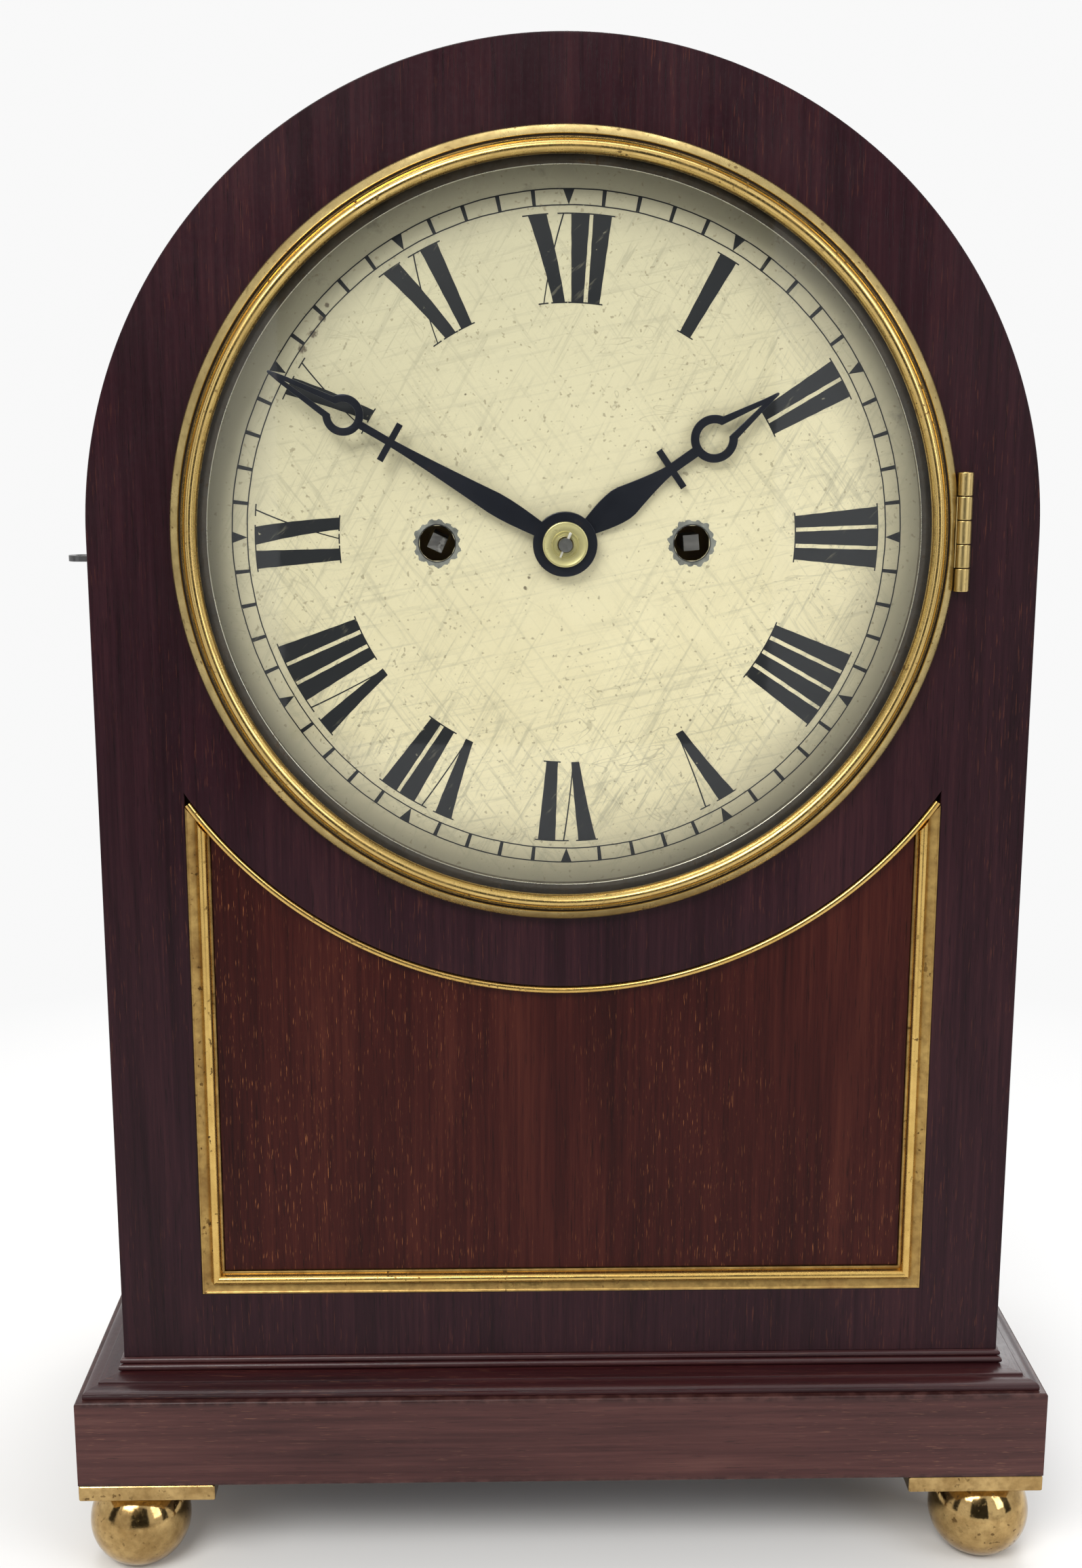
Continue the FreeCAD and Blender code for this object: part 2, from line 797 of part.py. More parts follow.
def hand(length, bar_at, bar_half, ring_at, ring_radius, blade_half, hub_hole, y0, y1):
    """Steel hand pointing at twelve: boss, leaf blade, cross bar, and a ring open to its arrow tip."""
    x, z = centre
    widest = boss_radius + (bar_at - boss_radius) * 0.4
    blade = [
        (x - stem_half, z + boss_radius - 1),
        ((x - blade_half, z + widest), (x - stem_half, z + bar_at)),
        (x + stem_half, z + bar_at),
        ((x + blade_half, z + widest), (x + stem_half, z + boss_radius - 1)),
    ]
    bar = box(x - bar_half, x + bar_half, y0, y1, z + bar_at - 0.7, z + bar_at + 0.7)
    stem = box(x - stem_half, x + stem_half, y0, y1, z + bar_at, z + ring_at - ring_radius + 0.5)
    ring = rod_y(ring_radius, y0, y1, (x, z + ring_at))
    tip_foot = z + ring_at + ring_radius * 0.8
    arrow = [(x - ring_radius * 0.55, tip_foot), (x + ring_radius * 0.55, tip_foot), (x, z + length)]
    boss = rod_y(boss_radius, y0, y1, centre)
    solid = fused(boss, prism_y(blade, y0, y1), bar, stem, ring, prism_y(arrow, y0, y1))
    eye = rod_y(ring_radius - ring_band, y0 - 1, y1 + 1, (x, z + ring_at))
    slot_foot = z + ring_at + ring_radius / 2
    slot = prism_y([(x - slot_half, slot_foot), (x + slot_half, slot_foot), (x, z + length - slot_from_tip)],
                   y0 - 1, y1 + 1)
    return cut_all(solid, eye, slot, rod_y(hub_hole, y0 - 1, y1 + 1, centre))


def hour_hand_y():
    return front_y + dial_front - hour_hand_back - hour_thickness


def minute_hand_y():
    return hour_hand_y() - hand_spacing - minute_thickness


def hour_hand():
    y0 = hour_hand_y()
    shape = hand(hour_length, hour_bar_at, hour_bar_half, hour_ring_at, hour_ring_radius,
                 hour_blade_half, hour_pipe_radius() + inlay_gap, y0, y0 + hour_thickness)
    return turned_about(shape, centre, time_minutes / 2)


def minute_hand():
    y0 = minute_hand_y()
    shape = hand(minute_length, minute_bar_at, minute_bar_half, minute_ring_at, minute_ring_radius,
                 minute_blade_half, cannon_bore() + 0.6, y0, y0 + minute_thickness)
    return turned_about(shape, centre, time_minutes * 6)


def hand_collet():
    """Domed brass washer under the taper pin."""
    y1 = minute_hand_y()
    y0 = y1 - collet_thickness
    bore = arbor_radius(great_module) + inlay_gap
    steps = [(bore, y1), (bore, y0), (collet_radius * 0.6, y0), (collet_radius, y1)]
    return facets_y(steps, hole_sides, centre)


def taper_pin_y():
    return minute_hand_y() - collet_thickness - 0.55


def hand_taper_pin():
    return turned_about(rod_x(0.5, -5.5, 5.5, taper_pin_y(), hub_z), centre, -35)


# ------------------------------------------------------------------ back door
def door_foot():
    return case_foot + door_gap


def door_outer():
    return inner_half - door_gap


def back_door_frame():
    outer = arch_slab(door_outer(), door_foot(), back_y - door_thickness, back_y)
    sight = arch_slab(door_outer() - door_rail, door_foot() + door_rail, back_y - 20, back_y + 1)
    seat = door_rail - door_rebate
    rebate = arch_slab(door_outer() - seat, door_foot() + seat, back_y - 20, back_y - door_thickness / 2)
    hole = rod_y(catch_shaft + running_fit, back_y - 20, back_y + 1, catch_place())
    return cut_all(outer, sight, rebate, hole)


def back_door_glass():
    seat = door_rail - door_rebate + 0.3
    y1 = back_y - door_thickness / 2
    return arch_slab(door_outer() - seat, door_foot() + seat, y1 - door_glass, y1)


def door_hinge_y():
    return back_y + door_knuckle + 0.1


def door_hinge_heights():
    return [case_foot + door_hinge_inset, dial_z - door_hinge_inset]


def door_hinge_x():
    return inner_half - door_gap / 2


def door_hinge_leaves(moving):
    """Surface leaves on the case edge or on the door; the pins are riveted in the fixed knuckles."""
    x, y = door_hinge_x(), door_hinge_y()
    side = -1 if moving else 1
    made = []
    for z in door_hinge_heights():
        half = door_hinge_length / 2
        x0, x1 = sorted((x + side * (door_knuckle + 0.2), x + side * door_leaf))
        parts = [box(x0, x1, back_y, back_y + door_leaf_thickness, z - half, z + half)]
        for z0, z1 in knuckle_spans(z, door_hinge_length, 3, 1 if moving else 0):
            w0, w1 = sorted((x, x + side * (door_knuckle + 0.3)))
            web = box(w0, w1, back_y + 0.1, back_y + door_leaf_thickness, z0, z1)
            parts.append(rod_z(door_knuckle, z0, z1, x, y).fuse(web))
        leaf = fused(*parts)
        if moving:
            leaf = leaf.cut(rod_z(door_pin + pin_fit, z - half, z + half, x, y))
        else:
            leaf = leaf.fuse(polygon_z(12, door_pin, z - half, z + half, x, y)).removeSplitter()
        made.append(leaf)
    return Part.makeCompound(made)


def catch_place():
    return (-(door_outer() - door_rail / 2), dial_z - catch_drop)


def tongue_y():
    return back_y - door_thickness - 0.3 - catch_thickness


def back_door_catch():
    """Turn catch: plate and thumb-piece outside, shaft through the stile, tongue inside."""
    x, z = catch_place()
    plate = rod_y(catch_radius, back_y + 0.05, back_y + catch_plate, (x, z))
    grip = box(x - 1.2, x + 1.2, back_y + 0.05, back_y + catch_stand_out, z - catch_radius, z + catch_radius)
    shaft = rod_y(catch_shaft, tongue_y(), back_y + catch_plate, (x, z))
    half = catch_width / 2
    tongue = box(x - half, x + half, tongue_y(), tongue_y() + catch_thickness, z - half, z + catch_reach)
    return fused(plate, grip, shaft, tongue)


def catch_mortise_cut():
    """Slot in the left side that the tongue turns into."""
    x, z = catch_place()
    half = catch_width / 2
    return box(-inner_half - catch_mortise, -inner_half + 1, tongue_y() - 1.2,
               tongue_y() + catch_thickness + 1.2, z - half - 2, z + catch_reach - 1)


# ------------------------------------------------------------------ movement frame
def plate_outline(y0, y1):
    z0, z1 = hub_z - plate_below, hub_z + plate_above
    shoulder = pillar_inset
    w = plate_half_width
    steps = [(-w, z0), (w, z0), (w, z1 - shoulder), (w - shoulder, z1), (-w + shoulder, z1),
             (-w, z1 - shoulder)]
    return prism_y(steps, y0, y1)


def pillar_places():
    x = plate_half_width - pillar_inset
    low, high = hub_z - plate_below + pillar_inset, hub_z + plate_above - pillar_inset
    return [(sx * x, z) for sx in (-1, 1) for z in (low, high)]


def bearing_hole(radius, y0, y1, place):
    """Hole whose flats clear an arbor of this radius."""
    return facet_rod((radius + running_fit) / math.cos(math.pi / bearing_sides), y0, y1, place, bearing_sides)


def arbor_holes(y0, y1):
    """Holes for the arbors that run in both plates."""
    holes = [(third_place, arbor_radius(centre_module)), (escape_place, arbor_radius(third_module)),
             (pin_place, arbor_radius(great_module)), (gathering_place, arbor_radius(pin_module)),
             (fly_place, arbor_radius(gathering_module)), (hammer_place, hammer_arbor),
             (going_barrel_at, barrel_arbor), (strike_barrel_at, barrel_arbor),
             (going_fusee_at, fusee_arbor), (strike_fusee_at, fusee_arbor),
             (centre, arbor_radius(great_module))]
    return [bearing_hole(radius, y0, y1, place) for place, radius in holes]


def front_plate():
    y0, y1 = plate_front - 1, plate_back + 1
    anchor_hole = bearing_hole(anchor_arbor, y0, y1, anchor_place)
    plate = cut_all(plate_outline(plate_front, plate_back), anchor_hole, *arbor_holes(y0, y1))
    stud = rod_y(minute_stud, minute_pinion_y() - 1.0, plate_front, minute_place)
    lever_post = rod_y(lever_stud, lever_y - lever_plate / 2 - 0.8, plate_front, (lever_pivot_x, lever_z))
    return fused(plate, stud, lever_post)


def back_plate():
    """Rear plate with its four pillars riveted in."""
    y0, y1 = rear_front - 1, rear_back + 1
    anchor_hole = bearing_hole(anchor_arbor + 2.5, y0, y1, anchor_place)
    plate = cut_all(plate_outline(rear_front, rear_back), anchor_hole, *arbor_holes(y0, y1))
    pillars = [facet_rod(pillar_radius, plate_back, rear_front, place, pillar_sides)
               for place in pillar_places()]
    bolts = [polygon_z(8, bolt_radius + 0.3, hub_z - plate_below - 1, z, x, y)
             for x, y, z in seat_bolt_places()]
    return fused(plate, *pillars).cut(bolts)


def seat_bolt_places():
    x, z = pillar_places()[2]
    return [(side * x, (plate_back + rear_front) / 2, z) for side in (-1, 1)]


def seat_board_z():
    return hub_z - plate_below - seat_board


def seat_board_piece():
    """Board that carries the movement, with its two bolt holes."""
    board = box(-inner_half + seat_fit, inner_half - seat_fit, front_y + seat_board_front,
                front_y + seat_board_back, seat_board_z(), seat_board_z() + seat_board)
    holes = [rod_z(bolt_radius + running_fit, seat_board_z() - 1, seat_board_z() + seat_board + 1, x, y)
             for x, y, z in seat_bolt_places()]
    return board.cut(holes)


def seat_rails():
    """Cleats glued to the sides under the seat board."""
    y0, y1 = front_y + seat_board_front, front_y + seat_board_back
    rails = []
    for side in (-1, 1):
        x0, x1 = sorted((side * inner_half, side * (inner_half - rail_depth)))
        rails.append(box(x0, x1, y0, y1, seat_board_z() - rail_height, seat_board_z()))
    return Part.makeCompound(rails)


def seat_bolts():
    bolts = []
    for x, y, z in seat_bolt_places():
        shank = rod_z(bolt_radius, seat_board_z() - 1, z - 1, x, y)
        head = polygon_z(6, bolt_head, seat_board_z() - 3.5, seat_board_z(), x, y)
        bolts.append(fused(shank, head))
    return Part.makeCompound(bolts)


# ------------------------------------------------------------------ wheels and arbors
def arbor_radius(module):
    """Arbor left under the leaves of a pinion of this module."""
    return module * (pinion_leaves / 2 - 1.2)


def toothed_disc(teeth, module, place, y0, y1, phase):
    """Wheel with pointed teeth, one of them centred on the phase angle."""
    outer = module * (teeth / 2 + 0.85)
    root = module * (teeth / 2 - 1.2)
    step = math.pi / teeth
    corners = []
    for i in range(teeth):
        angle = phase + 2 * i * step
        for radius, turn in ((outer, angle), (root, angle + step)):
            corners.append((place[0] + radius * math.cos(turn), place[1] + radius * math.sin(turn)))
    return prism_y(corners, y0, y1)


def pinion(leaves, module, place, y0, y1, phase):
    """Slim-leaved pinion with a gap centred on the phase angle."""
    outer = module * (leaves / 2 + 0.5)
    root = module * (leaves / 2 - 1.2)
    step = math.pi / leaves
    corners = []
    for i in range(leaves):
        leaf = phase + (2 * i + 1) * step
        for radius, turn in ((outer, -0.12), (outer, 0.12), (root, 0.55), (root, 1.45)):
            angle = leaf + turn * step
            corners.append((place[0] + radius * math.cos(angle), place[1] + radius * math.sin(angle)))
    return prism_y(corners, y0, y1)


def crossings(place, outer, inner, y0, y1):
    """Four windows cut in a wheel, leaving a rim, a hub and four arms."""
    arm = 1.3
    windows = []
    for turn in range(4):
        corners = []
        for radius, degrees in ((inner, 45), (outer, 10), (outer, 45), (outer, 80)):
            angle = math.radians(degrees + 90 * turn)
            if degrees == 45 and radius == inner:
                corners.append((place[0] + arm * 2 * math.cos(angle), place[1] + arm * 2 * math.sin(angle)))
            else:
                corners.append((place[0] + radius * math.cos(angle), place[1] + radius * math.sin(angle)))
        windows.append(prism_y(corners, y0 - 1, y1 + 1))
    return windows


def crossed_wheel(teeth, module, place, y0, thickness, phase, rim=2.2):
    y1 = y0 + thickness
    disc = toothed_disc(teeth, module, place, y0, y1, phase)
    window = module * (teeth / 2 - 1.2) - rim
    return disc.cut(crossings(place, window, 4.5, y0, y1))


def train_arbor(place, radius):
    """Arbor from plate to plate and through both."""
    return rod_y(radius, plate_front - 0.5, rear_back + 0.5, place)


def pinion_for(wheel_y, place, driver, module, end_y):
    """Pinion that meshes with a wheel whose front face is at wheel_y and runs on to end_y."""
    y0, y1 = sorted((end_y, wheel_y - 1.5 if end_y > wheel_y else wheel_y + 4.5))
    return pinion(pinion_leaves, module, place, y0, y1, direction(place, driver))


def centre_wheel():
    y = train_y["centre"]
    radius = arbor_radius(great_module)
    phase = direction(centre, third_place)
    wheel = crossed_wheel(centre_teeth, centre_module, centre, y, wheel_thickness, phase)
    great = train_y["great"]
    driven = pinion_for(great, centre, going_fusee_at, great_module, great + pinion_length)
    arbor = rod_y(radius, taper_pin_y() - 1.2, rear_back + 0.5, centre)
    hole = turned_about(rod_x(0.5 + running_fit, -9, 9, taper_pin_y(), hub_z), centre, -35)
    return fused(wheel, driven, arbor).cut(hole)


def third_wheel():
    y = train_y["third"]
    phase = direction(third_place, escape_place)
    wheel = crossed_wheel(third_teeth, third_module, third_place, y, wheel_thickness, phase)
    driven = pinion_for(train_y["centre"], third_place, centre, centre_module, y + wheel_thickness)
    return fused(wheel, driven, train_arbor(third_place, arbor_radius(centre_module)))


def escape_wheel():
    """Escape wheel with raked, pointed teeth."""
    y = train_y["escape"]
    x, z = escape_place
    step = 2 * math.pi / escape_teeth
    corners = []
    for i in range(escape_teeth):
        for radius, turn in ((escape_radius, 0.0), (escape_radius - 2.6, 0.25)):
            angle = (i + turn) * step
            corners.append((x + radius * math.cos(angle), z + radius * math.sin(angle)))
    disc = prism_y(corners, y, y + 1.5)
    wheel = disc.cut(crossings(escape_place, escape_radius - 4.6, 3.5, y, y + 1.5))
    driven = pinion_for(train_y["third"], escape_place, third_place, third_module, y + 1.5)
    return fused(wheel, driven, train_arbor(escape_place, arbor_radius(third_module)))


def fusee(place, driven_place, back, turn):
    """Fusee: great wheel, hollow-sided cone and winding arbor with its square behind the dial."""
    y = train_y["great"] + back
    phase = direction(place, driven_place)
    wheel = toothed_disc(great_teeth, great_module, place, y, y + great_wheel_thickness, phase)
    start = train_y["fusee"] + back
    steps = [(0, y + great_wheel_thickness), (fusee_large, y + great_wheel_thickness)]
    steps += [(fusee_radius(i / fusee_bands), start + fusee_length * i / fusee_bands)
              for i in range(fusee_bands + 1)]
    steps.append((0, start + fusee_length))
    cone = facets_y(steps, fusee_sides, place)
    square_y = dial_depth(winding_offset) + square_setback
    arbor = rod_y(fusee_arbor, plate_front - 1.0, rear_back + 0.5, place)
    half = winding_square / 2
    square = box(place[0] - half, place[0] + half, square_y, plate_front - 0.9,
                 place[1] - half, place[1] + half)
    return fused(wheel, cone, arbor, turned_about(square, place, turn))


def fusee_radius(share):
    """The pull of the spring falls as it runs down, so the radius grows faster towards the great wheel."""
    return 1 / (1 / fusee_large + (1 / fusee_small - 1 / fusee_large) * share)


def barrel(place, back):
    """Spring barrel, closed, on its arbor."""
    y0 = train_y["fusee"] + back + 1
    drum = facet_rod(barrel_radius, y0, y0 + barrel_length, place, barrel_sides)
    arbor = rod_y(barrel_arbor, plate_front - 0.5, rear_back + 1.0, place)
    return fused(drum, arbor)


def gut_line(fusee_place, barrel_place, side, back):
    """Gut line in one plane: round the barrel, up the outer side and over the fusee's wide end."""
    y = train_y["fusee"] + back + fusee_length / 6
    on_fusee = fusee_large + line_radius + line_gap
    on_barrel = barrel_radius + line_radius + line_gap
    along = direction(barrel_place, fusee_place)
    lean = math.asin((on_barrel - on_fusee) / math.dist(barrel_place, fusee_place))
    tangent = along - side * (math.pi / 2 - lean)

    def at(place, radius, angle):
        return (place[0] + radius * math.cos(angle), place[1] + radius * math.sin(angle))

    def edge(shift):
        low = [at(barrel_place, on_barrel + shift, tangent - side * turn) for turn in (2.4, 1.2, 0)]
        high = [at(fusee_place, on_fusee + shift, tangent + side * turn) for turn in (0, 1.2, 2.4)]
        return low, high

    (a, b, c), (d, e, f) = edge(-line_radius)
    (g, h, i), (j, k, l) = edge(line_radius)
    steps = [a, (b, c), d, (e, f), l, (k, j), i, (h, g)]
    return prism_y(steps, y - line_radius, y + line_radius)


def pin_wheel():
    """Pin wheel: its pins lift the hammer's tail."""
    y = train_y["centre"]
    phase = direction(pin_place, gathering_place)
    wheel = crossed_wheel(pin_teeth, pin_module, pin_place, y, wheel_thickness, phase, pin_rim)
    circle = pin_module * (pin_teeth / 2 - 1.2) - pin_rim / 2
    pins = []
    for i in range(lifting_pins):
        place = offset(pin_place, circle, 360 * i / lifting_pins + 30)
        pins.append(facet_rod(lifting_pin_radius, y - lifting_pin_length, y, place, 8))
    great = train_y["great"] + strike_back
    driven = pinion_for(great, pin_place, strike_fusee_at, great_module, great + pinion_length)
    return fused(wheel, driven, *pins, train_arbor(pin_place, arbor_radius(great_module)))


def gathering_wheel():
    y = train_y["third"]
    phase = direction(gathering_place, fly_place)
    wheel = crossed_wheel(gathering_teeth, gathering_module, gathering_place, y, wheel_thickness, phase)
    driven = pinion_for(train_y["centre"], gathering_place, pin_place, pin_module, y + wheel_thickness)
    return fused(wheel, driven, train_arbor(gathering_place, arbor_radius(pin_module)))


def fly():
    """Air brake of the striking train: a thin vane on its pinion's arbor."""
    y0 = train_y["great"] + 6
    y1 = y0 + fly_length
    driven = pinion_for(train_y["third"], fly_place, gathering_place, gathering_module, y1 + 2)
    x, z = fly_place
    vane = box(x - 0.3, x + 0.3, y0, y1, z - fly_width / 2, z + fly_width / 2)
    return fused(driven, vane, train_arbor(fly_place, arbor_radius(gathering_module)))


# ------------------------------------------------------------------ motion work
def cannon_y():
    return plate_front - 5.0


def minute_pinion_y():
    return cannon_y() - 5.5


def cannon_bore():
    return arbor_radius(great_module) + running_fit


def cannon_radius():
    return cannon_bore() + 1.2


def hour_pipe_radius():
    return cannon_radius() + running_fit + 1.0


def cannon_wheel():
    """Cannon: a wheel on a long pipe that carries the minute hand."""
    y = cannon_y()
    wheel = toothed_disc(cannon_teeth, cannon_module, centre, y, y + 1.8, direction(centre, minute_place))
    pipe = rod_y(cannon_radius(), minute_hand_y() + minute_thickness, y + 0.5, centre)
    seat = rod_y(cannon_bore() + 0.55, minute_hand_y(), y, centre)
    bore = rod_y(cannon_bore(), minute_hand_y() - 1, y + 9, centre)
    return fused(wheel, pipe, seat).cut(bore)


def minute_wheel():
    y = cannon_y()
    gap = direction(minute_place, centre)
    wheel = toothed_disc(minute_teeth, cannon_module, minute_place, y, y + 1.8, gap + math.pi / minute_teeth)
    leaves = pinion(minute_leaves, hour_module, minute_place, minute_pinion_y(), y, gap)
    bore = rod_y(minute_stud + running_fit, minute_pinion_y() - 1, y + 9, minute_place)
    return fused(wheel, leaves).cut(bore)


def hour_wheel():
    """Hour wheel on its pipe, which carries the hour hand."""
    y = cannon_y() - 3.6
    wheel = toothed_disc(hour_teeth, hour_module, centre, y, y + 1.8, direction(centre, minute_place))
    pipe = rod_y(hour_pipe_radius(), hour_hand_y(), y, centre)
    bore = rod_y(cannon_radius() + running_fit, hour_hand_y() - 1, y + 9, centre)
    return fused(wheel, pipe).cut(bore)


# ------------------------------------------------------------------ escapement and pendulum
def anchor():
    """Pallets, arbor, crutch and fork: one piece that rocks with the pendulum."""
    x, z = anchor_place
    right = [(3, 3.5), (9, 0.5), (15.4, -6.5), (15.2, -11.0), (12.8, -10.2), (11.8, -6.4), (6, -3.2)]
    outline = right + [(0, -2.8)] + [(-a, b) for a, b in reversed(right)]
    y = train_y["escape"] - (anchor_thickness - 1.5) / 2
    pallets = prism_y([(x + a, z + b) for a, b in outline], y, y + anchor_thickness)
    crutch_y = rear_back + cock_standoff / 2
    arbor = rod_y(anchor_arbor, plate_front - 0.5, cock_front() + cock_bridge, anchor_place)
    fork_z = z - crutch_drop
    crutch = rod_z(crutch_radius, fork_z, z, x, crutch_y)
    reach = rod_radius + fork_gap
    bar = box(x - reach - 1.2, x + reach + 1.2, crutch_y - 1.1, crutch_y + 1.1, fork_z - 1.5, fork_z + 1.5)
    prongs = [box(x + side * reach - (1.2 if side < 0 else 0), x + side * reach + (1.2 if side > 0 else 0),
                  crutch_y, rod_y_place + rod_radius + 1, fork_z - 1.5, fork_z + 1.5) for side in (-1, 1)]
    return fused(pallets, arbor, crutch, bar, *prongs)


def cock_front():
    return rear_back + cock_standoff


def back_cock():
    """Bridge on the back plate: two feet, a cross plate for the rear pivot, and the spring's chops."""
    z0 = flex_z - 6
    z1 = z0 + cock_height
    y = cock_front()
    feet = []
    for side in (-1, 1):
        x0, x1 = sorted((side * cock_half_width, side * (cock_half_width - 5)))
        feet.append(box(x0, x1, rear_back, y + cock_bridge, z0, z1))
    bridge = box(-cock_half_width, cock_half_width, y, y + cock_bridge, z0, z1)
    chop = box(-4.5, 4.5, y + cock_bridge, y + cock_bridge + chop_depth, flex_z + 0.4, z1)
    pivot = rod_y(anchor_arbor + running_fit, y - 1, y + cock_bridge + 1, anchor_place)
    return fused(bridge, chop, *feet).cut(pivot)


def suspension_spring():
    """Flat spring between the chops and the rod's top block."""
    half = spring_thickness / 2
    top = flex_z + 0.1
    strip = box(-half, half, rod_y_place - spring_width / 2, rod_y_place + spring_width / 2,
                top - spring_length, top)
    block = box(-2.0, 2.0, rod_y_place - 3, rod_y_place + 3, top - spring_length - 5, top - spring_length + 1)
    return fused(strip, block)


def bob_z():
    return flex_z - pendulum_length


def nut_z():
    return bob_z() - bob_radius - nut_height


def pendulum_rod():
    top = flex_z + 0.1 - spring_length - 5
    return rod_z(rod_radius, nut_z() - rod_below_nut, top, 0, rod_y_place)


def pendulum_bob():
    """Lens-shaped bob, bored for the rod."""
    y = rod_y_place
    half = bob_thickness / 2
    edge = 1.0
    steps = [(0, y - half), (bob_radius * 0.6, y - half + 2.0), (bob_radius, y - edge),
             (bob_radius, y + edge), (bob_radius * 0.6, y + half - 2.0), (0, y + half)]
    lens = facets_y(steps, bob_sides, (0, bob_z()))
    return lens.cut(rod_z(rod_radius + running_fit, bob_z() - 60, bob_z() + 60, 0, y))


def rating_nut():
    """Nut under the bob; eight flats stand for its milled edge."""
    z0, z1 = nut_z(), nut_z() + nut_height - 0.05
    nut = polygon_z(8, nut_radius, z0, z1, 0, rod_y_place)
    return nut.cut(rod_z(rod_radius + running_fit, z0 - 1, z1 + 1, 0, rod_y_place))


# ------------------------------------------------------------------ bell and hammer
def bell():
    """Open bell, rim down, hung by a hole in its crown."""
    z0 = dial_z + bell_rise
    z1 = z0 + bell_height
    r = bell_radius
    w = bell_wall
    steps = [(r, z0), (r * 0.88, z0 + bell_height * 0.6), (r * 0.45, z1), (2.3, z1), (2.3, z1 - w),
             (r * 0.42, z1 - w), (r * 0.88 - w, z0 + bell_height * 0.56), (r - w, z0)]
    return facets_z(steps, bell_sides, 0, bell_y)


def bell_stand():
    """Strap up from the back plate and forward over the bell, with the stud and nut that hold it."""
    crown = dial_z + bell_rise + bell_height
    arm_z = crown + 2.5
    x0, x1 = stand_x - stand_width / 2, stand_x + stand_width / 2
    y0 = rear_back
    strap = box(x0, x1, y0, y0 + stand_thickness, hub_z + plate_above - 18, arm_z + stand_thickness)
    half = stand_width / 2
    arm = prism_z([(x0, y0 + stand_thickness), (x1, y0 + stand_thickness), (x1, y0 - 4), (half, bell_y - half),
                   (-half, bell_y - half), (-half, bell_y + half)], arm_z, arm_z + stand_thickness)
    stud = rod_z(2.0, crown - bell_wall - 3.5, arm_z, 0, bell_y)
    spacer = rod_z(4.0, crown + bell_clearance, arm_z, 0, bell_y)
    nut = polygon_z(6, 4.5, crown - bell_wall - 2.8, crown - bell_wall - bell_clearance, 0, bell_y)
    return fused(strap, arm, stud, spacer, nut)


def hammer():
    """Arbor between the plates, arm and head beside the bell, tail over the pin wheel."""
    x, z = hammer_place
    head_z = dial_z + bell_rise + hammer_head_radius
    head_x1 = -bell_radius - hammer_gap
    head = rod_x(hammer_head_radius, head_x1 - hammer_head_length, head_x1, bell_y, head_z)
    head_x = head_x1 - hammer_head_length / 2
    arm = prism_y([(x - 1.5, z), (x + 1.5, z), (head_x + 1.5, head_z), (head_x - 1.5, head_z)],
                  bell_y - 1.5, bell_y + 1.5)
    tail_end = offset(hammer_place, hammer_tail, math.degrees(direction(hammer_place, pin_place)))
    y = train_y["centre"] - lifting_pin_length
    tail = prism_y([(x - 1.5, z + 1), (x + 1.2, z - 1), (tail_end[0] + 1, tail_end[1]),
                    (tail_end[0] - 1, tail_end[1])], y, y + 2)
    return fused(head, arm, tail, train_arbor(hammer_place, hammer_arbor))


# ------------------------------------------------------------------ repeat lever
def repeat_lever():
    """Steel lever on a stud of the front plate; its flat tongue leaves the case through the side."""
    y0 = lever_y - lever_plate / 2
    y1 = lever_y + lever_plate / 2
    half = lever_height / 2
    tip = -half_width - lever_reach
    shoulder = -inner_half + 12.0
    x = lever_pivot_x
    plate = prism_y([(x + 16, lever_z - 2), (x + 16, lever_z + 2), (x, lever_z + half), (x - 6, lever_z + half),
                     (shoulder, lever_z + 1.6), (shoulder, lever_z - 1.6), (x - 6, lever_z - half),
                     (x, lever_z - half)], y0, y1)
    w = lever_tongue / 2
    thick = lever_tongue_thickness / 2
    tongue = prism_z([(shoulder + 8, lever_y - w), (shoulder + 8, lever_y + w), (tip + w, lever_y + w),
                      ((tip, lever_y), (tip + w, lever_y - w))], lever_z - thick, lever_z + thick)
    stud = rod_y(lever_stud + running_fit, y0 - 1, y1 + 1, (x, lever_z))
    eye = rod_z(lever_eye, lever_z - 3, lever_z + 3, tip + w, lever_y)
    return fused(plate, tongue).cut([stud, eye])


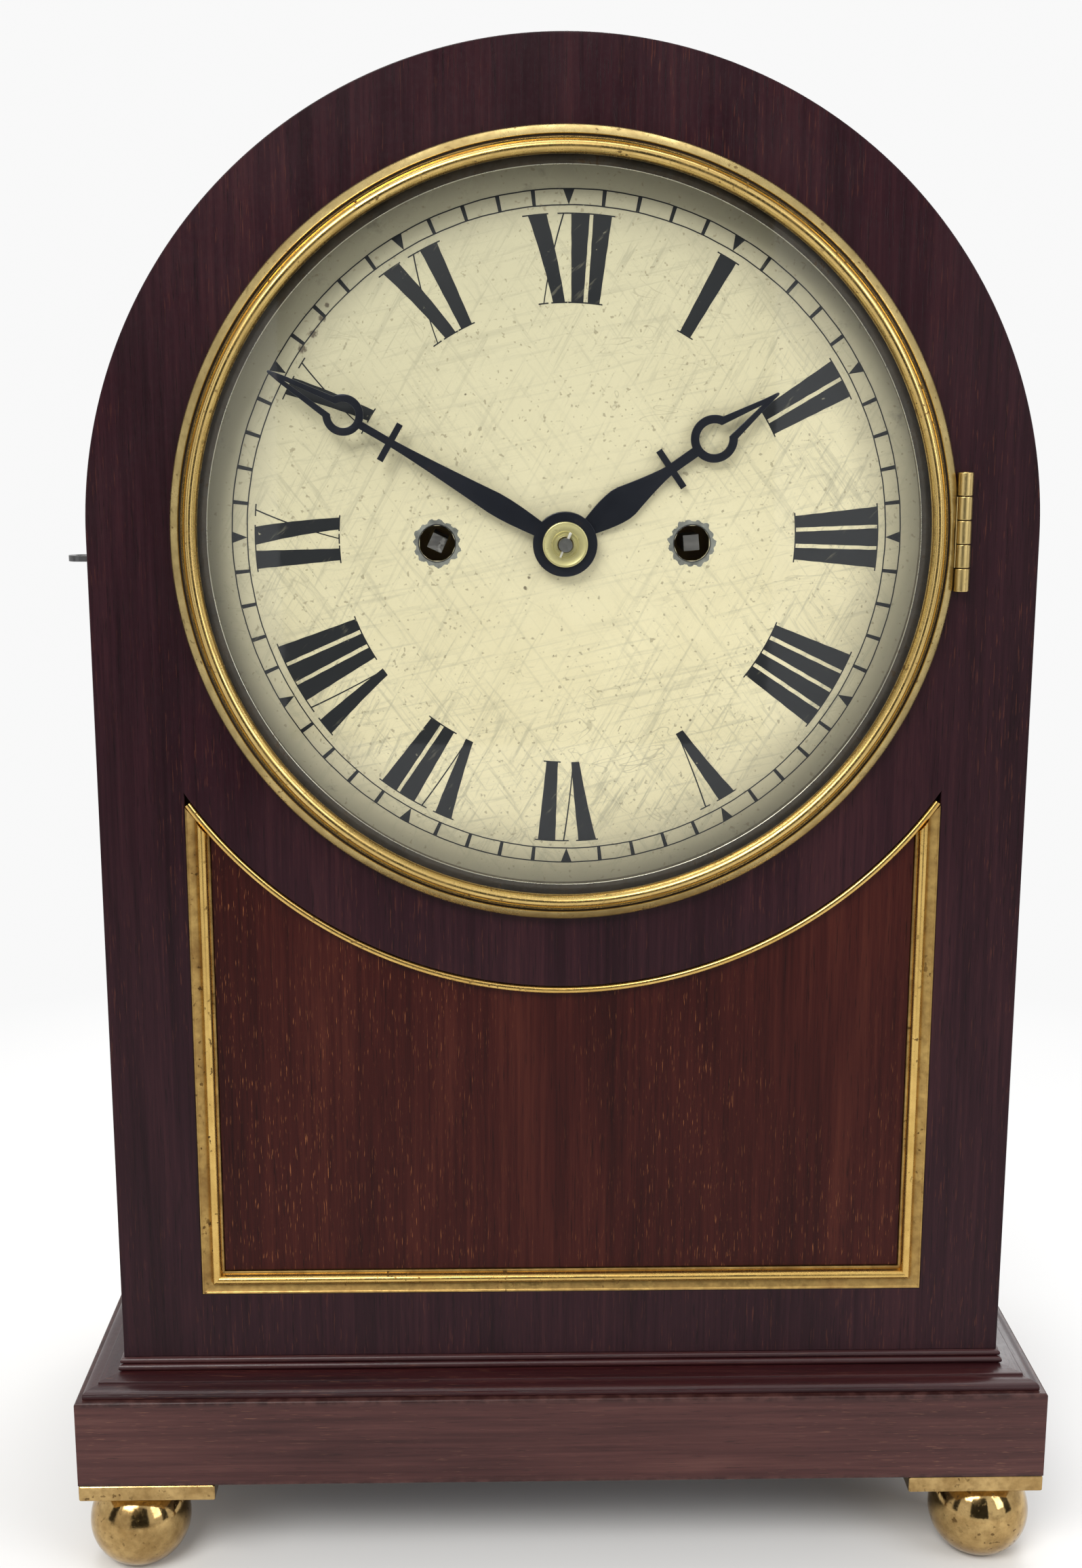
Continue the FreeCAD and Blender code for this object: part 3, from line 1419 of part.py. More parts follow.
# ------------------------------------------------------------------ write every piece
pieces = {
    "case_left_side": side_board(-1),
    "case_right_side": side_board(1),
    "case_arch_top": arch_top(),
    "front_board": front_board_piece(),
    "base_board": base_board_piece(),
    "plinth": plinth(),
    "foot_pads": foot_pads(),
    "ball_feet": ball_feet(),
    "lower_panel": lower_panel(),
    "panel_strip_left": panel_side_strip(-1),
    "panel_strip_right": panel_side_strip(1),
    "panel_strip_bottom": panel_bottom_strip(),
    "panel_arc_strip": panel_arc_strip(),
    "bezel_ring": bezel_ring(),
    "bezel_glass": bezel_glass(),
    "sight_ring": sight_ring(),
    "bezel_hinge_fixed_leaf": bezel_hinge_fixed_leaf(),
    "bezel_hinge_moving_leaf": bezel_hinge_moving_leaf(),
    "dial": dial(),
    "hour_hand": hour_hand(),
    "minute_hand": minute_hand(),
    "hand_collet": hand_collet(),
    "hand_taper_pin": hand_taper_pin(),
    "back_door_frame": back_door_frame(),
    "back_door_glass": back_door_glass(),
    "back_hinge_fixed_leaves": door_hinge_leaves(False),
    "back_hinge_moving_leaves": door_hinge_leaves(True),
    "back_door_catch": back_door_catch(),
    "front_plate": front_plate(),
    "back_plate": back_plate(),
    "seat_board": seat_board_piece(),
    "seat_rails": seat_rails(),
    "seat_bolts": seat_bolts(),
    "going_barrel": barrel(going_barrel_at, 0),
    "going_fusee": fusee(going_fusee_at, centre, 0, going_square_turn),
    "going_line": gut_line(going_fusee_at, going_barrel_at, 1, 0),
    "centre_wheel": centre_wheel(),
    "third_wheel": third_wheel(),
    "escape_wheel": escape_wheel(),
    "anchor": anchor(),
    "back_cock": back_cock(),
    "suspension_spring": suspension_spring(),
    "pendulum_rod": pendulum_rod(),
    "pendulum_bob": pendulum_bob(),
    "rating_nut": rating_nut(),
    "cannon_wheel": cannon_wheel(),
    "minute_wheel": minute_wheel(),
    "hour_wheel": hour_wheel(),
    "strike_barrel": barrel(strike_barrel_at, strike_back),
    "strike_fusee": fusee(strike_fusee_at, pin_place, strike_back, strike_square_turn),
    "strike_line": gut_line(strike_fusee_at, strike_barrel_at, -1, strike_back),
    "pin_wheel": pin_wheel(),
    "gathering_wheel": gathering_wheel(),
    "fly": fly(),
    "hammer": hammer(),
    "bell": bell(),
    "bell_stand": bell_stand(),
    "repeat_lever": repeat_lever(),
}

os.makedirs("parts", exist_ok=True)
for node, shape in pieces.items():
    shape.exportStep(f"parts/{node}.step")
print(len(pieces), "pieces")
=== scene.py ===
import bpy, bmesh, math, random
from mathutils import Vector, Matrix
from mathutils.geometry import tessellate_polygon, delaunay_2d_cdt


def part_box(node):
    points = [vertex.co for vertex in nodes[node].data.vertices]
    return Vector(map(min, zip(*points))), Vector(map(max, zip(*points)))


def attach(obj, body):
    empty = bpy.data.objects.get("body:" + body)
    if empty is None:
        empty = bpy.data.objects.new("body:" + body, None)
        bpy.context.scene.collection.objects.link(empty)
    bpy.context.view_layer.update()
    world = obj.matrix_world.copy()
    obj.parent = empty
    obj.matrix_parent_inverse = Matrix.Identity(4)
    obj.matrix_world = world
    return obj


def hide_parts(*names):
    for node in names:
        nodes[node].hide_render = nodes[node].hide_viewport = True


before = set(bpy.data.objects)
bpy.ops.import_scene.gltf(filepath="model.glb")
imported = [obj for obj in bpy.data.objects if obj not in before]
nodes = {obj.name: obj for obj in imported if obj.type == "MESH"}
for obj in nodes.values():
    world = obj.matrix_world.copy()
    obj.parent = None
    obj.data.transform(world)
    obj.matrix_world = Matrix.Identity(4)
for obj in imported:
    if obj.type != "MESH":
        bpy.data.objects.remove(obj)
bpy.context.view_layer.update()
random.seed(7)
MM = 0.001
TAU = 2 * math.pi


def span(node):
    """A node's box at rest in millimetres: ((x0, y0, z0), (x1, y1, z1))."""
    lo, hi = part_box(node)
    return tuple(v / MM for v in lo), tuple(v / MM for v in hi)


B = {name: span(name) for name in nodes}
F = B["front_board"][0][1]            # front face of the case
BACK = B["case_arch_top"][1][1]
H = B["case_arch_top"][1][0]          # half width of the case
FOOT = B["front_board"][0][2]         # underside of the case
DZ = B["case_arch_top"][0][2]         # centre of the arch, the bezel and the dial sheet
HUB = (B["hand_collet"][0][2] + B["hand_collet"][1][2]) / 2      # height of the hands' arbor
HZ = HUB - DZ
INNER = B["case_right_side"][0][0]
PH = B["plinth"][1][0]                # half width of the plinth
PF = B["plinth"][0][1]
PB, PT = B["plinth"][0][2], B["plinth"][1][2]

# ------------------------------------------------------------------ camera
YAW, PITCH, ROLL = 0.0214, 0.1989, 0.0011
EYE_X, EYE_AHEAD, EYE_Z = -17.41, 508.8, 341.5       # mm; ahead of the case's front face
FOCAL, FRAME_HEIGHT = 2739.5, 2312                   # in the picture's own pixels
SENSOR = 36


def add_object(name, data):
    obj = bpy.data.objects.new(name, data)
    bpy.context.scene.collection.objects.link(obj)
    return obj


cam = add_object("view", bpy.data.cameras.new("view"))
forward = Vector((math.sin(YAW) * math.cos(PITCH), math.cos(YAW) * math.cos(PITCH), -math.sin(PITCH)))
level = Vector((math.cos(YAW), -math.sin(YAW), 0))
right = level * math.cos(ROLL) + level.cross(forward) * math.sin(ROLL)
up = right.cross(forward)
cam.matrix_world = Matrix((
    (right.x, up.x, -forward.x, EYE_X * MM),
    (right.y, up.y, -forward.y, (F - EYE_AHEAD) * MM),
    (right.z, up.z, -forward.z, EYE_Z * MM),
    (0, 0, 0, 1)))
cam.data.sensor_width = SENSOR
cam.data.lens = SENSOR * FOCAL / FRAME_HEIGHT
cam.data.clip_start = 0.01
cam.data.clip_end = 50
bpy.context.scene.camera = cam


# ------------------------------------------------------------------ shader helpers
class Graph:
    """Small helper for building the node tree of one material, or of the world."""

    def __init__(self, name, world=None):
        self.owner = world or bpy.data.materials.new(name)
        self.owner.use_nodes = True
        self.tree = self.owner.node_tree
        self.tree.nodes.clear()
        self.out = self.node("OutputWorld" if world else "OutputMaterial")
        if not world:
            self.bsdf = self.node("BsdfPrincipled")
            self.link(self.bsdf.outputs[0], self.out.inputs[0])
            self.coord = self.node("TexCoord").outputs["Object"]

    def link(self, a, b):
        self.tree.links.new(a, b)

    def put(self, socket, value):
        if hasattr(value, "is_output"):
            self.link(value, socket)
        else:
            socket.default_value = (*value, 1) if socket.type == "RGBA" and len(value) == 3 else value

    def fill(self, node, inputs):
        """Sets inputs by name, with _ for the space in a name."""
        for key, value in inputs.items():
            self.put(node.inputs[key.replace("_", " ")], value)
        return node

    def node(self, kind, **inputs):
        return self.fill(self.tree.nodes.new("ShaderNode" + kind), inputs)

    def split(self):
        return self.node("SeparateXYZ", Vector=self.coord).outputs

    def noise(self, size, rotate=(0, 0, 0), offset=(0, 0, 0), detail=4.0, rough=0.55, distort=0.0):
        """Noise in the object's space; size is its fineness, one number or one for each axis."""
        scale = size if isinstance(size, tuple) else (size,) * 3
        if any(rotate):
            scale = tuple(1 / s for s in scale)
        place = self.node("Mapping", Vector=self.coord, Scale=scale, Rotation=rotate, Location=offset)
        if any(rotate):                    # turned first and stretched after, so the marks slant
            place.vector_type = "TEXTURE"
        return self.node("TexNoise", Vector=place.outputs[0], Scale=1.0, Detail=detail, Roughness=rough,
                         Distortion=distort).outputs["Fac"]

    def ramp(self, fac, stops):
        node = self.node("ValToRGB", Fac=fac)
        elements = node.color_ramp.elements
        while len(elements) < len(stops):
            elements.new(0.5)
        for element, (at, colour) in zip(elements, stops):
            element.position = at
            element.color = (*colour, 1)
        return node.outputs[0]

    def band(self, fac, low, high, start=0.0, end=1.0):
        return self.node("MapRange", Value=fac, From_Min=low, From_Max=high, To_Min=start,
                         To_Max=end).outputs[0]

    def maths(self, kind, a, b=0.0):
        node = self.node("Math")
        node.operation = kind
        self.put(node.inputs[0], a)
        self.put(node.inputs[1], b)
        return node.outputs[0]

    def mul(self, a, b):
        return self.maths("MULTIPLY", a, b)

    def add(self, a, b):
        return self.maths("ADD", a, b)

    def sub(self, a, b):
        return self.maths("SUBTRACT", a, b)

    def length(self, a, b):
        return self.maths("SQRT", self.add(self.mul(a, a), self.mul(b, b)))

    def mix(self, fac, a, b):
        node = self.node("Mix")
        node.data_type = "RGBA"
        self.put(node.inputs["Factor"], fac)
        for socket, value in zip([s for s in node.inputs if s.type == "RGBA"], (a, b)):
            self.put(socket, value)
        return [s for s in node.outputs if s.type == "RGBA"][0]

    def wear(self):
        node = self.node("Attribute")
        node.attribute_name = "wear"
        return node.outputs["Fac"]

    def bump(self, height, distance, strength):
        return self.node("Bump", Distance=distance, Strength=strength, Height=height).outputs[0]

    def blend(self, fac, first, second):
        """Sends a mix of two shaders to the output."""
        both = self.node("MixShader")
        for socket, source in zip(both.inputs, (fac, first, second)):
            self.link(source, socket)
        self.link(both.outputs[0], self.out.inputs[0])

    def finish(self, colour, rough, normal=None, **fixed):
        if normal is not None:
            fixed["Normal"] = normal
        self.fill(self.bsdf, dict(Base_Color=colour, Roughness=rough, **fixed))
        return self.owner


def scaled(colour, factor, plus=0.0):
    return tuple(c * factor + plus for c in colour)


def along(axis, fine, length):
    """Texture scale for grain that runs along an axis: fine across it, long along it."""
    scale = [fine, fine, fine]
    scale["xyz".index(axis)] = length
    return tuple(scale)


def mahogany(name, axis, dark, mid, light, fleck, rough=(0.3, 0.42), shine=0.26, flecks=0.5, coat=0.04,
             fine=(1900, 90)):
    g = Graph(name)
    figure = g.noise(along(axis, 55, 5), detail=5, rough=0.6, distort=0.6)
    streak = g.noise(along(axis, 600, 14), detail=6, rough=0.65, distort=0.25)
    colour = g.ramp(g.mix(0.5, figure, streak), [(0.36, dark), (0.51, mid), (0.67, light)])
    pores = g.noise(along(axis, 2600, 110), detail=3, rough=0.5)
    pit = g.band(pores, 0.60, 0.70)
    colour = g.mix(g.mul(pit, 0.55), colour, scaled(dark, 0.35))
    gold = g.noise(along(axis, *fine), offset=(3, 5, 7), detail=3, rough=0.5)
    place = g.band(g.noise(along(axis, 30, 9), offset=(1, 2, 3)), 0.38, 0.58)
    gold = g.mul(g.band(gold, 0.625, 0.69), g.mul(place, flecks))
    colour = g.mix(gold, colour, fleck)
    rubbed = g.band(g.noise(260), 0.40, 0.62)
    edge = g.mul(g.wear(), rubbed)
    colour = g.mix(g.mul(g.wear(), 0.7), colour, scaled(dark, 0.5))
    colour = g.mix(g.mul(edge, 0.22), colour, scaled(light, 1.8, 0.01))
    dust = g.noise(900, detail=5)
    level = g.band(g.noise(35), 0.3, 0.7, *rough)
    level = g.add(level, g.mul(g.band(dust, 0.45, 0.75), 0.08))
    bump = g.bump(g.sub(g.mul(streak, 0.35), pit), 0.00004, 0.55)
    return g.finish(colour, level, bump, Specular_IOR_Level=shine, Coat_Weight=coat, Coat_Roughness=0.16)


def raw_wood(name, axis, dark, light):
    g = Graph(name)
    figure = g.noise(along(axis, 80, 6), detail=6, rough=0.6, distort=0.8)
    streak = g.noise(along(axis, 900, 30), detail=5, rough=0.6)
    colour = g.ramp(g.mix(0.5, figure, streak), [(0.32, dark), (0.7, light)])
    stain = g.band(g.noise(22, detail=5), 0.55, 0.75)
    colour = g.mix(g.mul(stain, 0.4), colour, scaled(dark, 0.45))
    return g.finish(colour, g.band(streak, 0.3, 0.7, 0.62, 0.8), g.bump(streak, 0.00012, 0.6),
                    Specular_IOR_Level=0.25)


def metal(name, base, aged, spot=(0.10, 0.055, 0.02), rough=(0.18, 0.36), spots=0.5, tarnish=0.5,
          brushed=(1500, 60, 1500), metallic=1.0, grime=0.0, ahead=None):
    """ahead=(y, colour) changes the colour in front of a plane across the movement's arbors."""
    g = Graph(name)
    patch = g.noise(95, detail=6, rough=0.6, distort=0.3)
    colour = g.mix(g.mul(g.band(patch, 0.38, 0.68), tarnish), base, aged)
    cloud = g.noise(420, detail=5, rough=0.6)
    colour = g.mix(g.mul(g.band(cloud, 0.45, 0.7), 0.35 * tarnish), colour, aged)
    dots = g.noise(700, offset=(2, 4, 1), detail=2, rough=0.4)
    where = g.band(g.noise(60, offset=(5, 2, 8)), 0.45, 0.6)
    dot = g.mul(g.band(dots, 0.63, 0.69), g.mul(where, spots))
    colour = g.mix(dot, colour, spot)
    if grime:
        colour = g.mix(g.mul(g.band(cloud, 0.35, 0.7), grime), colour, spot)
    if ahead:
        front = g.band(g.split()["Y"], ahead[0] * MM + 0.0002, ahead[0] * MM)
        colour = g.mix(front, colour, ahead[1])
    lines = g.noise(brushed, detail=3, rough=0.6)
    level = g.band(patch, 0.3, 0.7, *rough)
    level = g.add(level, g.mul(g.band(lines, 0.5, 0.8), 0.12))
    level = g.add(level, g.mul(dot, 0.3))
    bump = g.bump(g.add(g.mul(lines, 0.4), g.mul(cloud, 0.6)), 0.00004, 0.45)
    return g.finish(colour, level, bump, Metallic=metallic)


def clear_glass(name, shine=0.4):
    """Thin clear pane: what is behind shows straight through, and the surface mirrors by angle."""
    g = Graph(name)
    smear = g.noise(30)
    through = g.node("BsdfTransparent", Color=(0.985, 0.988, 0.98))
    mirror = g.node("Fresnel", IOR=1.46)
    g.blend(g.mul(mirror.outputs[0], shine), through.outputs[0], g.bsdf.outputs[0])
    return g.finish((0.95, 0.97, 1.0), g.band(smear, 0.4, 0.8, 0.02, 0.06), Metallic=1.0)


def plain(name, base, rough, mottled=0.12):
    g = Graph(name)
    cloud = g.noise(300, detail=5)
    colour = g.mix(g.band(cloud, 0.3, 0.7), base, scaled(base, 1 - mottled * 3))
    return g.finish(colour, rough, g.bump(cloud, 0.00005, 0.4))


def gut():
    g = Graph("gut")
    twist = g.noise(900, detail=3)
    colour = g.mix(twist, (0.42, 0.27, 0.10), (0.62, 0.45, 0.21))
    return g.finish(colour, 0.42, g.bump(twist, 0.00008, 0.5), Subsurface_Weight=0.05)


# dial marks: ((across, up) from the hands' arbor, radius), in mm
MARKS = (((-10.8, -12.2), 0.6), ((-9.8, -9.3), 0.45), ((35.5, -49.5), 0.4), ((33.0, -51.5), 0.3),
         ((-71.0, 52.0), 1.3), ((-68.0, 56.0), 1.1), ((-65.5, 60.0), 1.0), ((-64.0, 63.5), 0.7),
         ((-27.0, 40.0), 0.3), ((49.0, 30.0), 0.25), ((-3.0, -31.0), 0.2), ((22.0, 26.0), 0.22))


def mark(g, x, z, at, radius, wobble):
    """1 inside a dark mark with an uneven edge."""
    d = g.length(g.sub(x, at[0]), g.sub(z, at[1]))
    d = g.add(d, g.mul(wobble, radius * 1.6))
    return g.band(d, radius * 1.9, radius * 1.4)


def dial_paint(name, ink=False):
    g = Graph(name)
    at = g.split()
    x = g.mul(at["X"], 1000.0)
    z = g.sub(g.mul(at["Z"], 1000.0), DZ)
    r = g.length(x, z)
    hub_z = g.sub(z, HZ)
    cloud = g.noise(22, detail=6, rough=0.6)
    wide = g.noise(9, offset=(4, 1, 2), detail=3)
    cream = g.mix(g.band(cloud, 0.35, 0.68), (0.84, 0.77, 0.525), (0.74, 0.67, 0.44))
    cream = g.mix(g.band(wide, 0.45, 0.62, 0.0, 0.35), cream, (0.88, 0.815, 0.585))
    # painted shade: the cream darkens towards the top and left of the dial
    shade = g.band(g.sub(g.mul(x, 0.4), z), -85.0, 40.0, 0.8, 0.0)
    cream = g.mix(shade, cream, (0.50, 0.475, 0.33))
    # the cream greys towards the sheet's edge from 84 mm out: partly grime, partly painted shade where the
    # bezel shades the rim
    rim = g.band(g.add(r, g.mul(cloud, 9.0)), 84.0, 104.0)
    cream = g.mix(g.mul(rim, 0.9), cream, (0.34, 0.315, 0.235))
    for turn, part in ((0.5, 0.34), (-0.65, 0.26), (1.35, 0.22)):
        brush = g.noise((620, 620, 26), rotate=(0, turn, 0), detail=5, rough=0.7, distort=0.5)
        strength = g.mul(g.band(brush, 0.53, 0.66), g.band(r, 20.0, 85.0, 0.22, part * 2.2))
        cream = g.mix(strength, cream, (0.42, 0.395, 0.28))
    hair = g.maths("ABSOLUTE", g.sub(g.noise((26, 26, 60), detail=3, distort=1.2), 0.5))
    hair = g.mul(g.band(hair, 0.004, 0.001), g.band(g.noise(14), 0.48, 0.58))
    cream = g.mix(g.mul(hair, 0.5), cream, (0.36, 0.33, 0.23))
    specks = g.band(g.noise(800, detail=2, rough=0.4), 0.66, 0.72)
    cream = g.mix(g.mul(specks, 0.6), cream, (0.26, 0.22, 0.14))
    wobble = g.noise(1400, detail=3)
    marks = None
    for place, size in MARKS:
        one = mark(g, x, hub_z, place, size, wobble)
        marks = one if marks is None else g.maths("MAXIMUM", marks, one)
    cream = g.mix(g.mul(marks, 0.8), cream, (0.07, 0.045, 0.03))
    dirty = g.band(g.noise(120, detail=5, rough=0.7), 0.60, 0.72)
    colour = cream = g.mix(g.mul(dirty, g.band(r, 86.0, 99.0, 0.0, 0.6)), cream, (0.16, 0.15, 0.12))
    if ink:
        wear = g.noise(340, offset=(1, 7, 3), detail=6, rough=0.7)
        strokes = g.noise((600, 600, 90), rotate=(0, 0.8, 0))
        gone = g.maths("MAXIMUM", g.band(wear, 0.665, 0.71), g.mul(g.band(strokes, 0.64, 0.72), 0.2))
        colour = g.mix(g.mul(gone, 0.7), (0.011, 0.013, 0.016), cream)
    relief = g.add(g.mul(brush, 0.5), g.mul(cloud, 1.0))
    return g.finish(colour, g.band(cloud, 0.3, 0.7, 0.34, 0.5), g.bump(relief, 0.00010, 0.35),
                    Specular_IOR_Level=0.35)


# ------------------------------------------------------------------ materials
MAHOGANY = dict(dark=(0.0085, 0.0012, 0.0030), mid=(0.018, 0.0040, 0.0070), light=(0.034, 0.0090, 0.0115),
                fleck=(0.100, 0.030, 0.016), flecks=0.35, fine=(2600, 150), shine=0.15)
LEDGE = dict(dark=(0.012, 0.0018, 0.0028), mid=(0.026, 0.0046, 0.0060), light=(0.046, 0.0105, 0.0105),
             fleck=(0.15, 0.06, 0.035), flecks=0.4, fine=(2600, 150), shine=0.4, coat=0.15)
PANEL = dict(dark=(0.014, 0.0016, 0.0014), mid=(0.031, 0.0046, 0.0034), light=(0.055, 0.0115, 0.0068),
             fleck=(0.24, 0.085, 0.030), flecks=0.75, fine=(3000, 190), shine=0.11)
PLINTH = dict(dark=(0.030, 0.0080, 0.0078), mid=(0.056, 0.0180, 0.0165), light=(0.092, 0.0360, 0.0300),
              fleck=(0.19, 0.09, 0.055), flecks=0.5, fine=(2600, 150))
RAW = (0.06, 0.028, 0.015), (0.17, 0.088, 0.046)
BRASS = (0.68, 0.50, 0.20), (0.48, 0.33, 0.12)       # clean and aged
# planes across the arbors, y in mm: in front of them a brass node shows another colour
CENTRE_STEEL = -79.2, (0.36, 0.36, 0.35)
WINDING_STEEL = -61.5, (0.42, 0.41, 0.40)
# painted shade: the front plate's face in front of this plane is near black, standing in for the dark space
# behind the dial
PLATE_SHADOW = -61.6, (0.010, 0.009, 0.008)
ROUND_ARBOR, UP_PLATE, UP_BELL = (90, 1200, 1200), (1300, 1300, 60), (60, 60, 1400)      # brushing
M = {
    "case_z": mahogany("mahogany_upright", "z", **MAHOGANY),
    "case_x": mahogany("mahogany_across", "x", **LEDGE),
    "case_y": mahogany("mahogany_deep", "y", **LEDGE),
    "arch": mahogany("mahogany_arch", "y", **MAHOGANY),
    "panel": mahogany("panel_mahogany", "z", **PANEL),
    "plinth_x": mahogany("plinth_mahogany", "x", **PLINTH),
    "plinth_y": mahogany("plinth_mahogany_side", "y", **PLINTH),
    "door_z": mahogany("door_upright", "z", **LEDGE),
    "inside_x": raw_wood("inside_across", "x", *RAW),
    "inside_y": raw_wood("inside_deep", "y", *RAW),
    "cast": metal("cast_brass", (0.66, 0.47, 0.17), (0.42, 0.27, 0.085), rough=(0.16, 0.34), spots=0.8,
                  tarnish=0.55),
    "band": metal("bezel_band_brass", (0.52, 0.40, 0.17), (0.31, 0.22, 0.085), rough=(0.20, 0.38),
                  spots=0.7, tarnish=0.7, grime=0.15),
    "strip": metal("strip_brass", (0.70, 0.47, 0.15), (0.45, 0.27, 0.07), rough=(0.17, 0.33), spots=0.9,
                   tarnish=0.6),
    "strip_dull": metal("strip_dull_brass", (0.50, 0.33, 0.11), (0.26, 0.15, 0.05), rough=(0.28, 0.45),
                        spots=0.9, tarnish=0.8, grime=0.35),
    "feet": metal("feet_brass", (0.54, 0.37, 0.155), (0.27, 0.16, 0.055), rough=(0.05, 0.17), spots=0.8,
                  tarnish=0.8, grime=0.3),
    "centre": metal("centre_brass", *BRASS, rough=(0.3, 0.4), spots=0.3, ahead=CENTRE_STEEL),
    "hinge": metal("hinge_brass", (0.62, 0.47, 0.20), (0.38, 0.27, 0.10), rough=(0.22, 0.4), spots=0.6),
    "train": metal("movement_brass", *BRASS, rough=(0.22, 0.38), spots=0.35, brushed=ROUND_ARBOR),
    "plate": metal("plate_brass", (0.60, 0.43, 0.17), (0.44, 0.30, 0.115), rough=(0.24, 0.4), spots=0.15,
                   tarnish=0.35, brushed=UP_PLATE),
    "collet": metal("collet_brass", (0.62, 0.57, 0.28), (0.46, 0.42, 0.19), rough=(0.3, 0.42), spots=0.3,
                    metallic=0.6),
    "pin": metal("pin_steel", (0.72, 0.71, 0.66), (0.55, 0.53, 0.47), rough=(0.3, 0.45), spots=0.2,
                 metallic=0.5),
    "sight": metal("sight_metal", (0.15, 0.13, 0.10), (0.07, 0.055, 0.04), rough=(0.3, 0.5), spots=0.6,
                   grime=0.3),
    "sight_edge": metal("sight_edge_metal", (0.60, 0.58, 0.50), (0.40, 0.38, 0.31), rough=(0.2, 0.35)),
    "fusee": metal("fusee_brass", *BRASS, rough=(0.24, 0.38), spots=0.35, brushed=ROUND_ARBOR,
                   ahead=WINDING_STEEL),
    # the front plate carries painted shade: near black in front of PLATE_SHADOW's plane
    "front_plate": metal("front_plate_brass", (0.66, 0.49, 0.20), (0.46, 0.32, 0.12), rough=(0.3, 0.45),
                         spots=0.4, brushed=UP_PLATE, ahead=PLATE_SHADOW),
    "steel": metal("bright_steel", (0.45, 0.45, 0.46), (0.28, 0.27, 0.26), spot=(0.07, 0.045, 0.03),
                   rough=(0.22, 0.4)),
    "dark_steel": metal("dark_steel", (0.14, 0.14, 0.145), (0.07, 0.065, 0.06), spot=(0.05, 0.03, 0.02),
                        rough=(0.28, 0.45), spots=0.4),
    "blued": metal("blued_steel", (0.030, 0.034, 0.048), (0.018, 0.019, 0.026), spot=(0.06, 0.035, 0.02),
                   rough=(0.28, 0.42), spots=0.25, tarnish=0.4, metallic=0.75),
    "bell": metal("bell_metal", (0.60, 0.50, 0.30), (0.42, 0.33, 0.18), rough=(0.16, 0.3), spots=0.3,
                  brushed=UP_BELL),
    "glass": clear_glass("dome_glass"),
    "door_glass": clear_glass("door_glass", shine=0.8),
    "gut": gut(),
    "dial": dial_paint("dial_cream"),
    "ink": dial_paint("dial_black", ink=True),
    "chipped": plain("chipped_edge", (0.25, 0.26, 0.24), 0.6, 0.2),
    "dark_groove": plain("dark_groove", (0.035, 0.022, 0.012), 0.6),
    "card": plain("dark_card", (0.02, 0.02, 0.022), 0.9),
}


# ------------------------------------------------------------------ mesh helpers
class Build:
    """Collects several solids into one mesh."""

    def __init__(self):
        self.verts, self.faces, self.wear = [], [], []

    def add(self, verts, faces, wear=None):
        start = len(self.verts)
        self.verts += verts
        self.faces += [tuple(i + start for i in face) for face in faces]
        self.wear += wear if wear is not None else [0.0] * len(verts)
        return self

    def done(self, name, body, key, replaces=(), slot=None, angle=28, weighted=True):
        """Makes the object from what was collected, in material M[key]."""
        mesh = bpy.data.meshes.new(name)
        mesh.from_pydata([(x * MM, y * MM, z * MM) for x, y, z in self.verts], [], self.faces)
        mesh.attributes.new("wear", "FLOAT", "POINT").data.foreach_set("value", self.wear)
        bm = bmesh.new()
        bm.from_mesh(mesh)
        bmesh.ops.remove_doubles(bm, verts=bm.verts, dist=2e-7)
        bmesh.ops.recalc_face_normals(bm, faces=bm.faces)
        bm.to_mesh(mesh)
        bm.free()
        mesh.polygons.foreach_set("use_smooth", [True] * len(mesh.polygons))
        mesh.set_sharp_from_angle(angle=math.radians(angle))
        obj = add_object(name, mesh)
        mesh.materials.append(M[key])
        if weighted:
            obj.modifiers.new("flat faces", "WEIGHTED_NORMAL").keep_sharp = True
        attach(obj, body)
        if replaces:
            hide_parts(*replaces)
        return obj


def recolour(obj, keys, choose):
    """Adds materials to an object; choose(x, y, z) of a face's middle gives its material's number."""
    for key in keys:
        obj.data.materials.append(M[key])
    for poly in obj.data.polygons:
        poly.material_index = choose(*(c / MM for c in poly.center))


def fillet(points, closed=True, steps=4):
    """Outline with its corners rounded; each point is (a, b) or (a, b, radius)."""
    made = []
    count = len(points)
    for i, point in enumerate(points):
        r = point[2] if len(point) > 2 else 0
        p = Vector(point[:2])
        u = Vector(points[i - 1][:2]) - p
        v = Vector(points[(i + 1) % count][:2]) - p
        lu, lv = u.length, v.length
        u.normalize()
        v.normalize()
        opening = u.angle(v) if r > 0 else math.pi
        if opening > math.pi - 0.02 or (not closed and i in (0, count - 1)):
            made.append((point[0], point[1]))
            continue
        t = min(r / math.tan(opening / 2), lu * 0.49, lv * 0.49)
        rr = t * math.tan(opening / 2)
        centre = p + (u + v).normalized() * (rr / math.sin(opening / 2))
        start, end = p + u * t - centre, p + v * t - centre
        a0, a1 = math.atan2(start.y, start.x), math.atan2(end.y, end.x)
        turn = (a1 - a0 + math.pi) % TAU - math.pi
        for k in range(steps + 1):
            a = a0 + turn * k / steps
            made.append((centre.x + rr * math.cos(a), centre.y + rr * math.sin(a)))
    return made


def arc(cx, cz, r, a0, a1, steps, rz=None):
    """Points along an arc, angles in degrees; rz is its other radius if it is an ellipse."""
    angles = [math.radians(a0 + (a1 - a0) * k / steps) for k in range(steps + 1)]
    return [(cx + r * math.cos(a), cz + (rz or r) * math.sin(a)) for a in angles]


def circle(cx, cz, r, n=96):
    return [(cx + r * math.cos(TAU * i / n), cz + r * math.sin(TAU * i / n)) for i in range(n)]


def arch_loop(half, foot, steps=72):
    return [(-half, foot), (half, foot)] + arc(0, DZ, half, 0, 180, steps)


